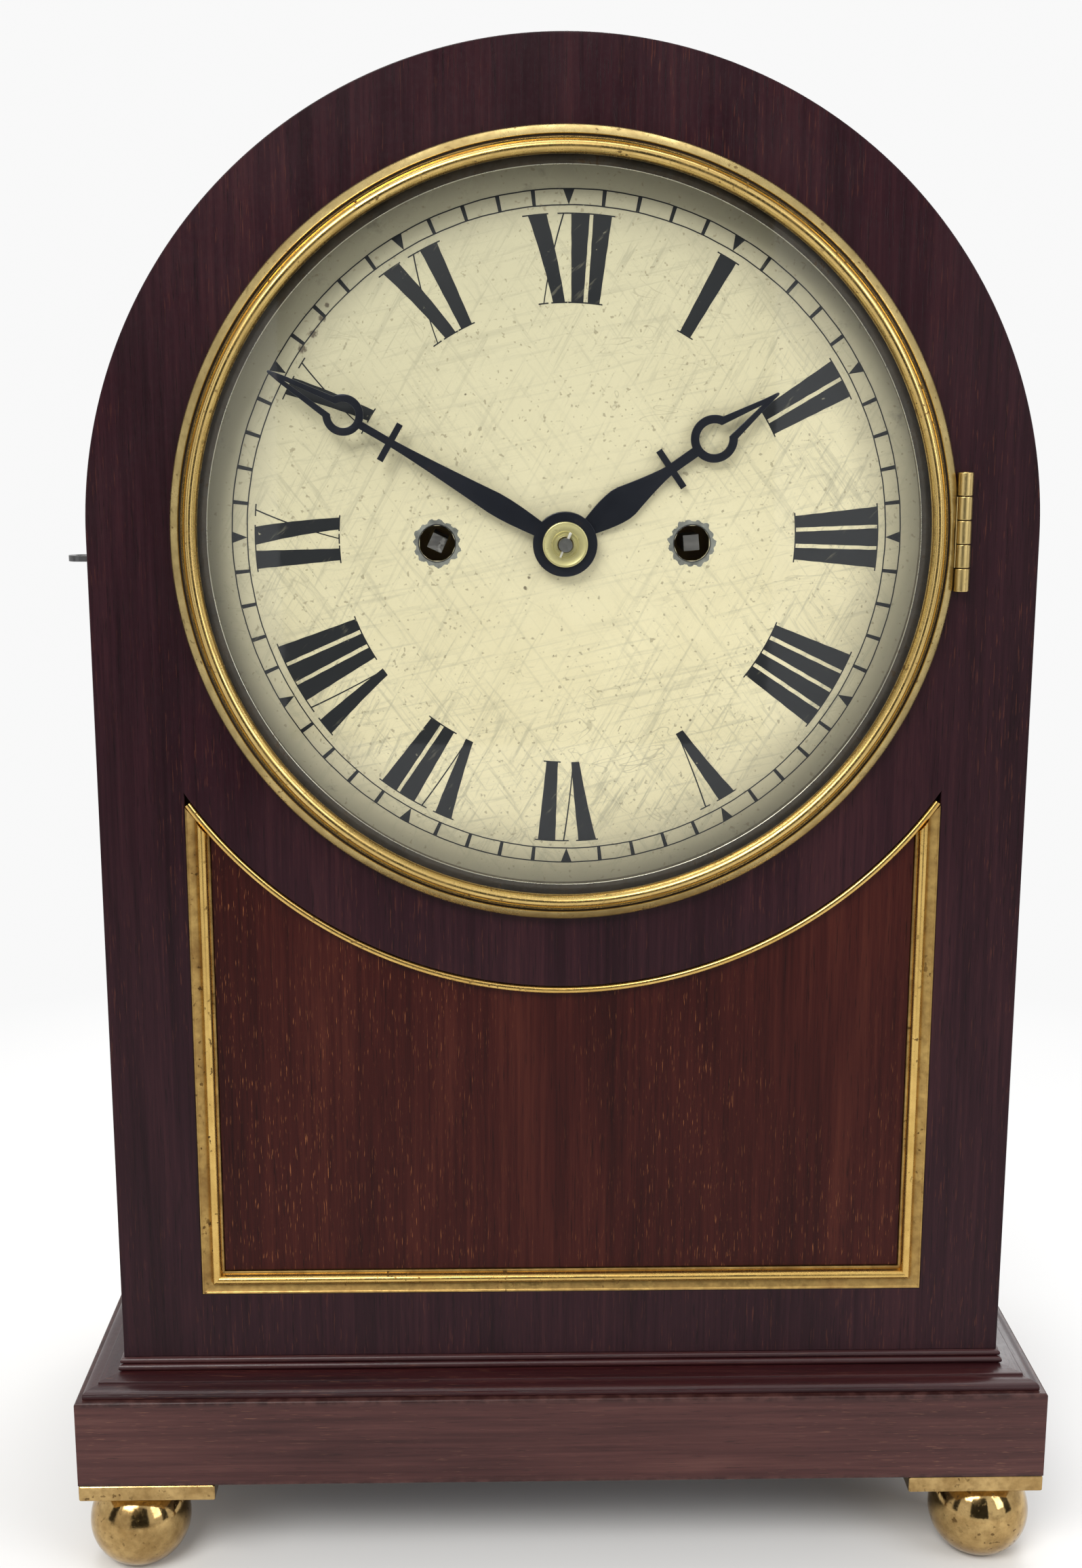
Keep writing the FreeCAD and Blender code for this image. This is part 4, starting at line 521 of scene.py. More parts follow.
def lathe(build, outline, place, axis="y", turns=160, closed=True, start=0.0, stop=TAU):
    """Turned form: outline of (radius, height along the axis) about an axis y or z through place."""
    whole = abs(stop - start - TAU) < 1e-9
    rings = turns if whole else turns + 1
    verts, faces = [], []
    for i in range(rings):
        a = start + (stop - start) * i / turns
        for r, h in outline:
            u, v = place[0] + r * math.cos(a), place[1] + r * math.sin(a)
            verts.append((u, h, v) if axis == "y" else (u, v, h))
    n = len(outline)
    for i in range(turns):
        j = (i + 1) % rings
        for k in range(n if closed else n - 1):
            m = (k + 1) % n
            a, b, c, d = i * n + k, i * n + m, j * n + m, j * n + k
            if outline[k][0] >= 1e-9:
                faces.append((a, b, c, d) if outline[m][0] >= 1e-9 else (a, b, d))
            elif outline[m][0] >= 1e-9:
                faces.append((a, b, c))
    if not whole and closed:
        faces += [tuple(range(n)), tuple(reversed(range((rings - 1) * n, rings * n)))]
    return build.add(verts, faces)


def area(loop):
    return sum(loop[i - 1][0] * loop[i][1] - loop[i][0] * loop[i - 1][1] for i in range(len(loop))) / 2


def inset(loop, d):
    """Loop moved to its left by d, corners mitred."""
    if d <= 1e-9:
        return loop
    made = []
    for i, at in enumerate(loop):
        p, q, s = Vector(loop[i - 1]), Vector(at), Vector(loop[(i + 1) % len(loop)])
        e, f = q - p, s - q
        if e.length < 1e-9 or f.length < 1e-9:
            made.append(tuple(q))
            continue
        e.normalize()
        f.normalize()
        left_e, left_f = Vector((-e.y, e.x)), Vector((-f.y, f.x))
        bis = left_e + left_f
        if bis.length < 1e-6:
            made.append(tuple(q + left_e * d))
            continue
        bis.normalize()
        made.append(tuple(q + bis * (d / max(0.35, bis.dot(left_e)))))
    return made


def slab(build, outer, holes, h0, h1, edge=0.4, steps=3, back_edge=None, place=lambda u, v, h: (u, h, v)):
    """Flat piece with softened edges. place maps (u, v, h) to a point; by default u is x, v is z, h is y."""
    back_edge = edge if back_edge is None else back_edge
    loops = [outer if area(outer) > 0 else outer[::-1]]
    loops += [hole if area(hole) < 0 else hole[::-1] for hole in holes]
    turns = [math.pi / 2 * k / steps for k in range(steps + 1)]
    rings = [(edge * (1 - math.sin(a)), h0 + edge * (1 - math.cos(a)), math.sin(2 * a)) for a in turns]
    rings += [(back_edge * (1 - math.cos(a)), h1 - back_edge * (1 - math.sin(a)), math.sin(2 * a))
              for a in turns]
    if edge == 0:
        rings = rings[steps:]
    if back_edge == 0:
        rings = rings[:-steps]
    verts, faces, worn = [], [], []
    for loop in loops:
        start, n = len(verts), len(loop)
        for d, h, w in rings:
            verts += [place(u, v, h) for u, v in inset(loop, d)]
            worn += [w] * n
        for k in range(len(rings) - 1):
            for i in range(n):
                a, b = start + k * n + i, start + k * n + (i + 1) % n
                faces.append((a, b, b + n, a + n))
    for ring, flip in ((0, False), (len(rings) - 1, True)):
        index, flat, start = [], [], 0
        for loop in loops:
            n = len(loop)
            index += range(start + ring * n, start + ring * n + n)
            flat.append([Vector((u, v, 0)) for u, v in inset(loop, rings[ring][0])])
            start += len(rings) * n
        for tri in tessellate_polygon(flat):
            faces.append(tuple(index[i] for i in (tri if flip else tri[::-1])))
    return build.add(verts, faces, worn)


def block(build, lo, hi, edge=0.4, axis="y", steps=2):
    """Rectangular board or block with softened edges all round."""
    iu, iv, ih = {"y": (0, 2, 1), "z": (0, 1, 2)}[axis]

    def place(u, v, h):
        out = [0, 0, 0]
        out[iu], out[iv], out[ih] = u, v, h
        return tuple(out)
    corners = ((lo[iu], lo[iv]), (hi[iu], lo[iv]), (hi[iu], hi[iv]), (lo[iu], hi[iv]))
    loop = fillet([(u, v, edge) for u, v in corners], steps=steps)
    return slab(build, loop, [], lo[ih], hi[ih], edge=edge, steps=steps, place=place)


def run_along(build, profile, stations, worn=()):
    """Sweep a closed profile of (outward, height) through mitred stations; worn lists its worn points."""
    verts = [station(p, z) for station in stations for p, z in profile]
    n = len(profile)
    faces = [tuple(range(n)), tuple(reversed(range((len(stations) - 1) * n, len(stations) * n)))]
    for s in range(len(stations) - 1):
        for k in range(n):
            m = (k + 1) % n
            faces.append((s * n + k, s * n + m, (s + 1) * n + m, (s + 1) * n + k))
    return build.add(verts, faces, [1.0 if k in worn else 0.0 for station in stations for k in range(n)])


def corner(x, y, px, py):
    """Station for run_along: (x, y), moved px and py times the profile's outward distance."""
    return lambda p, z: (x + px * p, y + py * p, z)


# ------------------------------------------------------------------ case
DIAL_MASK = 102.5     # radius of the opening in the front board
FRONT_SKIN = 4.0      # depth of the panel's pocket
ARC_IN = 127.7        # pocket's curved top edge, about the dial centre
ARC_OUT = 129.7       # outer edge of the brass arc
PHW = B["panel_strip_right"][1][0]    # half width of the pocket
PZ = B["panel_strip_bottom"][0][2]
SW = 6.5              # width of a brass strip
PAD = 40.0            # side of a corner pad
FOOT_R, FOOT_SEAT, FOOT_NECK, FOOT_HALF_WAY = 15.0, 6.5, 8.0, 12.9


def case_shell():
    y0, y1 = B["case_left_side"][0][1] + 0.03, BACK
    (_, ly0, lz0), (_, ly1, lz1) = B["repeat_lever"]
    yc, zt = (ly0 + ly1) / 2, (lz0 + lz1) / 2
    lever_hole = fillet([(yc + dy, zt + dz, 0.8) for dy, dz in ((-5, -11), (5, -11), (5, 3.5), (-5, 3.5))])
    loop = [(y0, FOOT), (y1, FOOT), (y1, DZ), (y0, DZ)]
    for side, name, holes in ((-1, "left", [lever_hole]), (1, "right", [])):
        x0, x1 = sorted((side * INNER, side * H))
        build = slab(Build(), loop, holes, x0, x1, edge=0.25, steps=2, place=lambda u, v, h: (h, u, v))
        build.done("side_" + name, "case", "case_z", replaces=["case_%s_side" % name], slot="mahogany")
    outline = arc(0, DZ, H, 0, 180, 120) + arc(0, DZ, INNER, 180, 0, 120)
    build = slab(Build(), outline, [], y0, y1, edge=0.25, steps=2)
    build.done("arch", "case", "arch", replaces=["case_arch_top"], slot="mahogany")


def panel_loop(half, foot, radius, steps=64):
    top = DZ - math.sqrt(radius ** 2 - half ** 2)
    a = math.degrees(math.atan2(top - DZ, half))
    return [(-half, foot), (half, foot)] + arc(0, DZ, radius, a, -180 - a, steps)


def front_face():
    """A skin with the pocket and a board behind it; they overlap, since shared faces would merge."""
    build = Build()
    mask = circle(0, DZ, DIAL_MASK, 180)
    front = arch_loop(H, FOOT, steps=140)
    slab(build, front, [mask, panel_loop(PHW, PZ, ARC_IN)], F, F + FRONT_SKIN, edge=0.35, back_edge=0)
    slab(build, front, [mask], F + FRONT_SKIN - 0.02, B["front_board"][1][1], edge=0, back_edge=0.1, steps=2)
    build.done("front_face", "case", "case_z", replaces=["front_board"], slot="mahogany")


def moulding_profile():
    """Edge of the base board, outward distance and height, from the top down."""
    low, top = B["base_board"][0][2], B["base_board"][1][2]
    return ([(-6.0, top), (0.0, top)] + arc(0.15, top - 0.95, 0.85, 90, -90, 8) +
            arc(0.35, top - 2.95, 1.15, 90, -90, 8, rz=1.05) +
            [(1.35, top - 4.05), (4.0, top - 4.2), (6.15, top - 4.35), (6.45, top - 4.5), (6.5, top - 5.05)] +
            arc(6.9, top - 6.55, 3.5, 90, 0, 6, rz=1.35) +
            [(10.5, top - 6.75), (10.5, low + 0.25), (10.3, low), (-6.0, low)])


def base_moulding():
    left, right = corner(-H, F, -1, -1), corner(H, F, 1, -1)
    for name, stations, key in (("moulding_front", [left, right], "case_x"),
                                ("moulding_left", [corner(-H, BACK, -1, 0), left], "case_y"),
                                ("moulding_right", [right, corner(H, BACK, 1, 0)], "case_y")):
        build = run_along(Build(), moulding_profile(), stations)
        build.done(name, "case", key, replaces=["base_board"], slot="mahogany", angle=24)
    build = block(Build(), (-H + 6.0, F + 6.0, PT), (H - 6.0, BACK, FOOT), edge=0.1)
    build.done("base_inside", "case", "case_x", slot="mahogany")


def plinth_frame():
    wall = 16.0
    profile = fillet([(0, PB, 0.5), (0, PB + 1.6), (0, PT - 1.8), (0, PT, 0.7), (-wall, PT, 0.2),
                      (-wall, PB, 0.5)])
    worn = set(range(5)) | set(range(7, 12))         # the two outer corners of the profile
    fl, fr = corner(-PH, PF, -1, -1), corner(PH, PF, 1, -1)
    bl, br = corner(-PH, BACK, -1, 1), corner(PH, BACK, 1, 1)
    for name, a, b, key in (("front", fl, fr, "plinth_x"), ("right", fr, br, "plinth_y"),
                            ("back", br, bl, "plinth_x"), ("left", bl, fl, "plinth_y")):
        build = run_along(Build(), profile, [a, b], worn)
        build.done("plinth_" + name, "case", key, replaces=["plinth"], slot="mahogany", angle=26)


def pads_and_feet():
    lo, hi = B["foot_pads"]
    build = Build()
    for sx in (-1, 1):
        for y0, y1 in ((lo[1], lo[1] + PAD), (hi[1] - PAD, hi[1])):
            x0, x1 = sorted((sx * (hi[0] - PAD), sx * hi[0]))
            block(build, (x0, y0, lo[2]), (x1, y1, hi[2]), edge=0.6, axis="z", steps=3)
    build.done("corner_pads", "case", "feet", replaces=["foot_pads"], slot="cast_brass")
    neck_z = B["ball_feet"][1][2]
    low, high = math.asin(FOOT_SEAT / FOOT_R), math.asin(FOOT_NECK / FOOT_R)
    outline = [(0, 0), (6.0, 0), (FOOT_SEAT, 0.12)]
    for k in range(1, 40):
        a = low + (math.pi - high - low) * k / 40
        drop = math.cos(a)
        limit = math.cos(low if drop > 0 else high)
        outline.append((FOOT_R * math.sin(a), FOOT_HALF_WAY * (1 - drop / limit) * 0.995 + 0.06))
    outline += [(8.15, 25.75), (FOOT_NECK, 25.95), (8.1, 26.15), (8.1, neck_z), (0, neck_z)]
    build = Build()
    for sx in (-1, 1):
        for y in (PF + FOOT_R, BACK - FOOT_R):
            lathe(build, outline, (sx * (PH - FOOT_R), y), axis="z", turns=96, closed=False)
    build.done("round_feet", "case", "feet", replaces=["ball_feet"], slot="cast_brass", angle=50,
               weighted=False)


def lower_panel():
    clear = SW + 0.05
    build = slab(Build(), panel_loop(PHW - clear, PZ + clear, ARC_OUT + 0.05), [], B["lower_panel"][0][1],
                 F + FRONT_SKIN, edge=0.25, steps=2)
    build.done("panel_board", "case", "panel", replaces=["lower_panel"], slot="panel_mahogany")


def strips():
    """Brass strips round the panel: their profile is distance in from the outer edge, and depth."""
    back = F + FRONT_SKIN
    profile = [(0.0, back), (0.0, F - 0.3), (0.15, F - 0.5), (0.55, F - 0.5), (0.8, F - 0.25),
               (2.0, F + 0.2), (3.05, F + 0.65)]
    profile += arc(4.45, F + 0.15, 1.38, 180, 360, 12, rz=1.7)      # the bead
    profile += [(5.95, F + 0.75), (6.35, F + 0.8), (SW, F + 1.0), (SW, back)]

    def foot(side):
        return lambda p, y: (side * (PHW - p), y, PZ + p)

    def head(side):
        return lambda p, y: (side * (PHW - p), y, DZ - math.sqrt((ARC_OUT + 0.05) ** 2 - (PHW - p) ** 2))
    for name, stations, inward in (("left", [foot(-1), head(-1)], lambda x, z: PHW - abs(x)),
                                   ("right", [foot(1), head(1)], lambda x, z: PHW - abs(x)),
                                   ("bottom", [foot(-1), foot(1)], lambda x, z: z - PZ)):
        strip = run_along(Build(), profile, stations).done(
            "strip_" + name, "case", "strip", replaces=["panel_strip_" + name], slot="cast_brass", angle=35)
        recolour(strip, ["strip_dull"], lambda x, y, z: 0 if 3.0 < inward(x, z) < 5.9 else 1)
    inner, outer = ARC_IN + 0.05, ARC_OUT
    profile = [(inner, back), (inner, F + 0.1), (inner + 0.1, F - 0.1)]
    profile += arc((inner + outer) / 2, F - 0.1, 0.88, 180, 360, 8, rz=0.65)
    profile += [(outer - 0.05, F), (outer, back)]
    a = math.asin(PHW / outer)
    build = lathe(Build(), profile, (0, DZ), turns=120, start=-math.pi / 2 - a, stop=-math.pi / 2 + a)
    build.done("strip_arc", "case", "strip", replaces=["panel_arc_strip"], slot="cast_brass", angle=35)


# ------------------------------------------------------------------ bezel
BEZEL_R = B["bezel_ring"][1][2] - DZ
BAND_IN = BEZEL_R - 2.6               # inner edge of the sloping band
BEAD_OUT = BAND_IN - 0.7
HINGE_FLAT = 105.85                   # the ring is cut flat here, beside its hinge
GLASS_R, GLASS_RISE, GLASS_THICK = 99.9, 6.0, 2.2
SIGHT_IN = 96.6
BEAD_IN, BEAD_HEIGHT = 99.35, 2.5
BEZEL_BORE, GLASS_SEAT, BEZEL_NECK = 99.0, 100.05, 101.9


def bezel():
    back = F - 0.2
    rim = back - 3.0
    band = rim - 2.0
    edge = [(BEZEL_R, back), (BEZEL_R, rim + 0.5), (BEZEL_R - 0.15, rim + 0.1), (BEZEL_R - 0.45, rim - 0.15)]
    sloping = [(BAND_IN + 0.3, band + 0.2), (BAND_IN + 0.1, band + 0.1), (BAND_IN - 0.1, band + 0.3),
               (BAND_IN - 0.25, band + 0.95), (BAND_IN - 0.5, band + 1.0), (BEAD_OUT, band + 0.5)]
    step = [(BEAD_OUT - 0.08, band - 0.35), (BEAD_OUT - 0.35, band - 0.65), (BEAD_OUT - 0.7, band - 0.62),
            (BEAD_OUT - 0.9, band - 0.4)]
    middle, half = (BEAD_OUT - 0.95 + BEAD_IN) / 2, (BEAD_OUT - 0.95 - BEAD_IN) / 2
    turns = [math.pi * k / 16 for k in range(1, 16)]
    bead = [(middle + half * math.cos(a), band - BEAD_HEIGHT * math.sin(a) ** 0.8 + 0.1) for a in turns]
    lip = [(99.3, band + 0.1), (BEZEL_BORE, band + 0.5), (BEZEL_BORE, F - 5.5), (GLASS_SEAT, F - 5.5),
           (GLASS_SEAT, F + 3.0), (BEZEL_NECK, F + 3.0), (BEZEL_NECK, back)]
    build = lathe(Build(), edge + sloping + step + bead + lip, (0, DZ), turns=360)
    hinge = B["bezel_hinge_fixed_leaf"]
    low, high = hinge[0][2] - 0.3, hinge[1][2] + 0.3
    build.verts = [(min(x, HINGE_FLAT) if low < z < high and x > 0 else x, y, z) for x, y, z in build.verts]
    ring = build.done("bezel_cast", "bezel", "band", replaces=["bezel_ring"], slot="cast_brass", angle=40,
                      weighted=False)

    def choose(x, y, z):
        r = math.hypot(x, z - DZ)
        return 3 if r < 99.4 else 1 if r < BEAD_OUT else 2 if r < BAND_IN - 0.12 else 0
    recolour(ring, ("cast", "dark_groove", "sight"), choose)


def dome_glass():
    apex = B["bezel_glass"][0][1] + 0.03
    sphere = (GLASS_R ** 2 + GLASS_RISE ** 2) / (2 * GLASS_RISE)
    radii = [GLASS_R * k / 40 for k in range(41)]
    front = [(r, apex + sphere - math.sqrt(sphere ** 2 - r ** 2)) for r in radii]
    back = [(r, y + GLASS_THICK) for r, y in reversed(front)]
    build = lathe(Build(), front + back, (0, DZ), closed=False)
    build.done("dome", "bezel", "glass", replaces=["bezel_glass"], slot="clear_glass", angle=50,
               weighted=False)


def sight():
    lo, hi = B["sight_ring"]
    outline = fillet([(GLASS_R, lo[1]), (SIGHT_IN, lo[1], 0.25), (SIGHT_IN + 0.9, hi[1], 0.2),
                      (GLASS_R, hi[1])])
    ring = lathe(Build(), outline, (0, DZ), turns=240).done(
        "sight", "bezel", "sight", replaces=["sight_ring"], slot="cast_brass", angle=40, weighted=False)
    recolour(ring, ["sight_edge"],
             lambda x, y, z: 1 if math.hypot(x, z - DZ) < SIGHT_IN + 0.32 and y < lo[1] + 0.6 else 0)


def knuckle(build, x, y, z0, z1, r):
    e = min(0.25, r * 0.2)
    outline = [(0, z0), (r - e, z0), (r - e * 0.3, z0 + e * 0.3), (r, z0 + e), (r, z1 - e),
               (r - e * 0.3, z1 - e * 0.3), (r - e, z1), (0, z1)]
    lathe(build, outline, (x, y), axis="z", turns=40, closed=False)


def bezel_hinge():
    lo, hi = B["bezel_hinge_fixed_leaf"]
    mlo, mhi = B["bezel_hinge_moving_leaf"]
    r = 2.2
    x, y = hi[0] - r, lo[1] + r
    share = (hi[2] - lo[2]) / 5
    fixed, moving = Build(), Build()
    for i in range(5):
        z0, z1 = lo[2] + i * share, lo[2] + (i + 1) * share
        knuckle(moving if i % 2 else fixed, x, y, z0 + 0.12, z1 - 0.12, r)
        if i % 2 == 0:
            block(fixed, (x - 0.9, y, z0 + 0.2), (x + 1.6, F + 0.3, z1 - 0.2), edge=0.1)
        else:
            block(moving, (x - r - 0.15, y - 0.7, z0 + 0.2), (x, y + 0.7, z1 - 0.2), edge=0.1)
    block(fixed, (lo[0], F + 0.02, lo[2]), hi, edge=0.15)
    knuckle(fixed, x, y, lo[2], lo[2] + 0.3, 1.0)
    knuckle(fixed, x, y, hi[2] - 0.3, hi[2], 1.0)
    block(moving, (mlo[0], y - 1.2, mlo[2]), (mlo[0] + 0.3, y + 1.2, mhi[2]), edge=0.08)
    fixed.done("hinge_fixed", "case", "hinge", replaces=["bezel_hinge_fixed_leaf"], slot="cast_brass")
    moving.done("hinge_moving", "bezel", "hinge", replaces=["bezel_hinge_moving_leaf"], slot="cast_brass")


# ------------------------------------------------------------------ dial
APEX = F + 3.0
DR, DOME_RISE, SHEET = 100.4, 6.0, 1.6
DIAL_SPHERE = (DR ** 2 + DOME_RISE ** 2) / (2 * DOME_RISE)
WINDING = 35.0                        # winding holes, left and right of the arbor
DIAL_FOOT = 58.0                      # dial feet, left, right, up and down
PRINT = (0.9, -0.6)                   # the printed rings sit slightly off the sheet's centre
NUMERAL_LOW, NUMERAL_HIGH = 62.8, 86.0
MINUTE_IN, MINUTE_OUT = 88.2, 92.4
ACROSS = 75.0                         # radius at which widths across a numeral are true
NUMERALS = "I II III IIII V VI VII VIII IX X XI XII".split()
WIDE = {"I": 5.2, "V": 9.9, "X": 10.7}


def dial_y(x, z, lift=0.0):
    return APEX + DIAL_SPHERE - math.sqrt(DIAL_SPHERE ** 2 - (x * x + z * z)) - lift


def flat_fill(loops, inside):
    """Triangulates a region with extra points inside, so that it can follow a dome."""
    points, edges = [], []
    for loop in loops:
        start, n = len(points), len(loop)
        points += [Vector(p) for p in loop]
        edges += [(start + i, start + (i + 1) % n) for i in range(n)]
    points += [Vector(p) for p in inside]
    v, e, f, *_ = delaunay_2d_cdt(points, edges, [], 0, 1e-5)
    return v, f


def off_holes(x, z, gap):
    """True for a dial point further than gap from the middle of each of the three holes."""
    return all(math.hypot(x - c, z - HZ) > gap for c in (0, -WINDING, WINDING))


def dial_sheet():
    grid = []
    for k in range(1, 20):
        r = DR * k / 20
        grid += [p for p in circle(0, 0, r, max(12, int(r * 0.9))) if off_holes(*p, 7)]
    v, f = flat_fill([circle(0, 0, DR, 200), circle(0, HZ, 4.9, 48), circle(-WINDING, HZ, 5.0, 48),
                      circle(WINDING, HZ, 5.0, 48)], grid)

    def filled(face):
        cx, cz = (sum(v[i][k] for i in face) / len(face) for k in (0, 1))
        return math.hypot(cx, cz) < DR and off_holes(cx, cz, 4.85)
    faces = [tuple(face) for face in f if filled(face)]
    n = len(v)
    verts = [(p.x, dial_y(p.x, p.y) + back, DZ + p.y) for back in (0.0, SHEET) for p in v]
    sides = [(face[i], face[(i + 1) % 3]) for face in faces for i in range(3)]
    known = set(sides)
    rim = [(a, b, b + n, a + n) for a, b in sides if (b, a) not in known]
    build = Build().add(verts, faces + [tuple(i + n for i in reversed(face)) for face in faces] + rim)
    for sx in (-1, 1):
        for sz in (-1, 1):
            lathe(build, [(0, APEX + 6), (2.0, APEX + 6), (2.0, B["dial"][1][1]), (0, B["dial"][1][1])],
                  (sx * DIAL_FOOT, DZ + sz * DIAL_FOOT), turns=24, closed=False)
    build.done("dial_sheet", "case", "dial", replaces=["dial"], slot="cream_paint", angle=35, weighted=False)


class Print:
    """Thin painted shapes that follow the dial's dome."""

    def __init__(self, lift=0.045):
        self.build = Build()
        self.lift = lift

    def polar(self, r, a):
        """Point at radius r and clockwise angle a from twelve."""
        return (PRINT[0] + r * math.sin(a), PRINT[1] + r * math.cos(a))

    def strip(self, left, right):
        """Ribbon between two lists of dial points."""
        points = [(x, dial_y(x, z, self.lift), DZ + z) for pair in zip(left, right) for x, z in pair]
        self.build.add(points, [(2 * i, 2 * i + 1, 2 * i + 3, 2 * i + 2) for i in range(len(left) - 1)])

    def ring(self, r0, r1, steps=360):
        inner, outer = [], []
        for k in range(steps + 1):
            a = TAU * k / steps
            shake = 0.03 * math.sin(a * 37 + r0) + 0.02 * math.sin(a * 91)
            inner.append(self.polar(r0 + shake, a))
            outer.append(self.polar(r1 + shake, a))
        self.strip(inner, outer)

    def stroke(self, start, end, w0, w1, angle, steps=9):
        """Stroke of a numeral: its foot and head, across, and the widths there."""
        left, right = [], []
        for k in range(steps + 1):
            t = k / steps
            u = start + (end - start) * t
            v = (NUMERAL_HIGH - NUMERAL_LOW) * t
            w = (w0 + (w1 - w0) * t) / 2 * (1 + 0.02 * math.sin(t * 23 + start * 3))
            for side, row in ((-1, left), (1, right)):
                row.append(self.polar(NUMERAL_LOW + v, angle + (u + side * w) / ACROSS))
        self.strip(left, right)

    def serif(self, a, b, r, angle):
        at = [angle + (a + (b - a) * k / 5) / ACROSS for k in range(6)]
        self.strip([self.polar(r - 0.18, t) for t in at], [self.polar(r + 0.18, t) for t in at])

    def done(self, name, key, slot="cream_paint"):
        self.build.done(name, "case", key, slot=slot, weighted=False)


def numerals():
    """Each letter is its strokes (foot, head, width at each) and its serifs (from, to, radius), across."""
    wide_head, wide_foot, thin = 4.35, 3.85, 0.36
    low, high = NUMERAL_LOW, NUMERAL_HIGH
    letters = {
        "I": ([(0, 0, wide_foot, wide_head)], [(-2.9, 2.9, low), (-2.95, 2.95, high)]),
        "V": ([(-0.2, -2.6, wide_foot * 0.7, wide_head), (0.5, 3.3, thin, thin)],
              [(-5.3, 0.2, high), (2.0, 4.8, high)]),
        "X": ([(2.1, -2.2, wide_foot, wide_head), (-2.8, 4.0, thin, thin)],
              [(-5.7, 0.4, high), (2.5, 5.4, high), (-0.4, 4.8, low), (-4.5, -1.3, low)])}
    ink = Print()
    for hour, text in enumerate(NUMERALS, 1):
        angle = math.radians(hour * 30)
        u = -sum(WIDE[c] for c in text) / 2
        for c in text:
            mid = u + WIDE[c] / 2
            strokes, serifs = letters[c]
            for foot, head, w0, w1 in strokes:
                ink.stroke(mid + foot, mid + head, w0, w1, angle)
            for a, b, r in serifs:
                ink.serif(mid + a, mid + b, r, angle)
            u += WIDE[c]
    ink.done("numerals", "ink")


def minute_ring():
    ink = Print()
    for r in (MINUTE_IN, MINUTE_OUT):
        ink.ring(r - 0.17, r + 0.17)
    line, wedge = 0.46 / MINUTE_IN, 1.55 / MINUTE_OUT
    for m in range(60):
        a = math.radians(m * 6)
        foot, w0, w1 = (MINUTE_IN, line, line * 1.15) if m % 5 else (MINUTE_IN + 0.1, 0.0004, wedge)
        ink.strip([ink.polar(foot, a - w0), ink.polar(MINUTE_OUT, a - w1)],
                  [ink.polar(foot, a + w0), ink.polar(MINUTE_OUT, a + w1)])
    ink.done("minute_ring", "ink")


def hole_point(side, r, a):
    return (side * WINDING + r * math.cos(a), HZ + r * math.sin(a))


def chipped_rings():
    """Bare metal where the paint has flaked round the winding holes, and the dark edges of the holes."""
    chip = Print(lift=0.03)
    n = 150
    for side in (-1, 1):
        inner, outer = [], []
        for k in range(n + 1):
            a = TAU * (k % n) / n
            r = 6.35 + 0.3 * math.sin(a * 15 + side) + 0.22 * math.sin(a * 6 + side * 2)
            r += random.uniform(-0.16, 0.16)
            inner.append(hole_point(side, 4.97, a))
            outer.append(hole_point(side, r, a) if k < n else outer[0])
        chip.strip(inner, outer)
    chip.done("chipped_rings", "chipped")
    edge = Print(lift=0.04)
    n = 120
    for side in (-1, 1):
        edge.strip(*([hole_point(side, r, TAU * k / n) for k in range(n + 1)] for r in (4.95, 5.25)))
    edge.done("hole_edges", "dark_steel", "steel")


# ------------------------------------------------------------------ hands
BOSS = 8.8                            # radius of a hand's round middle
BAR = 0.9                             # half thickness of the cross bar
PIN_LEAN = 23.0                       # degrees from upright


def hand_loops(length, bar_at, bar_half, ring_at, ring_r, hole_r, blade_half, widest, slot_end, stem):
    """Outline and keyhole of a hand that points up (across, along)."""
    right = arc(0, 0, BOSS, -90, math.degrees(math.acos(min(1, (stem + 1.1) / BOSS))), 22)
    root_x, root_y = right[-1]
    peak = (widest - root_y) / (bar_at - root_y)
    for k in range(1, 13):
        t = k / 13
        if t < peak:
            w = root_x + (blade_half - root_x) * math.sin(t / peak * math.pi / 2)
        else:
            w = stem + (blade_half - stem) * (1 - (t - peak) / (1 - peak)) ** 1.25
        right.append((w, root_y + (bar_at - BAR - root_y) * t))
    right += [(stem, bar_at - BAR), (bar_half, bar_at - BAR), (bar_half, bar_at + BAR), (stem, bar_at + BAR)]
    foot = ring_at - math.sqrt(ring_r ** 2 - stem ** 2)
    right.append((stem, foot))
    ring_foot = math.degrees(math.atan2(foot - ring_at, stem))
    shoulder = math.degrees(math.acos(ring_r * 0.56 / ring_r))
    right += arc(0, ring_at, ring_r, ring_foot, shoulder, 20)[1:]
    right += [(1.1, slot_end), (0.42, length - 0.4), (0.22, length)]
    outline = right + [(-x, y) for x, y in reversed(right) if x > 1e-6]
    neck = math.degrees(math.acos(hole_r * 0.44 / hole_r))
    hole = arc(0, ring_at, hole_r, 180 - neck, 360 + neck, 30)
    return outline, hole + [(0.0, slot_end - 1.2)]


def turned(loop, degrees):
    """Clockwise turn about the hands' arbor, seen from the front."""
    a = math.radians(degrees)
    return [(x * math.cos(a) + y * math.sin(a), HUB - x * math.sin(a) + y * math.cos(a)) for x, y in loop]


def hand(name, node, body, degrees, bore, **sizes):
    outline, hole = hand_loops(**sizes)
    lo, hi = B[node]
    build = slab(Build(), turned(outline, degrees), [turned(hole, degrees), circle(0, HUB, bore, 48)],
                 lo[1], hi[1], edge=0.16, steps=2)
    build.done(name, body, "blued", replaces=[node], slot="blued_steel")


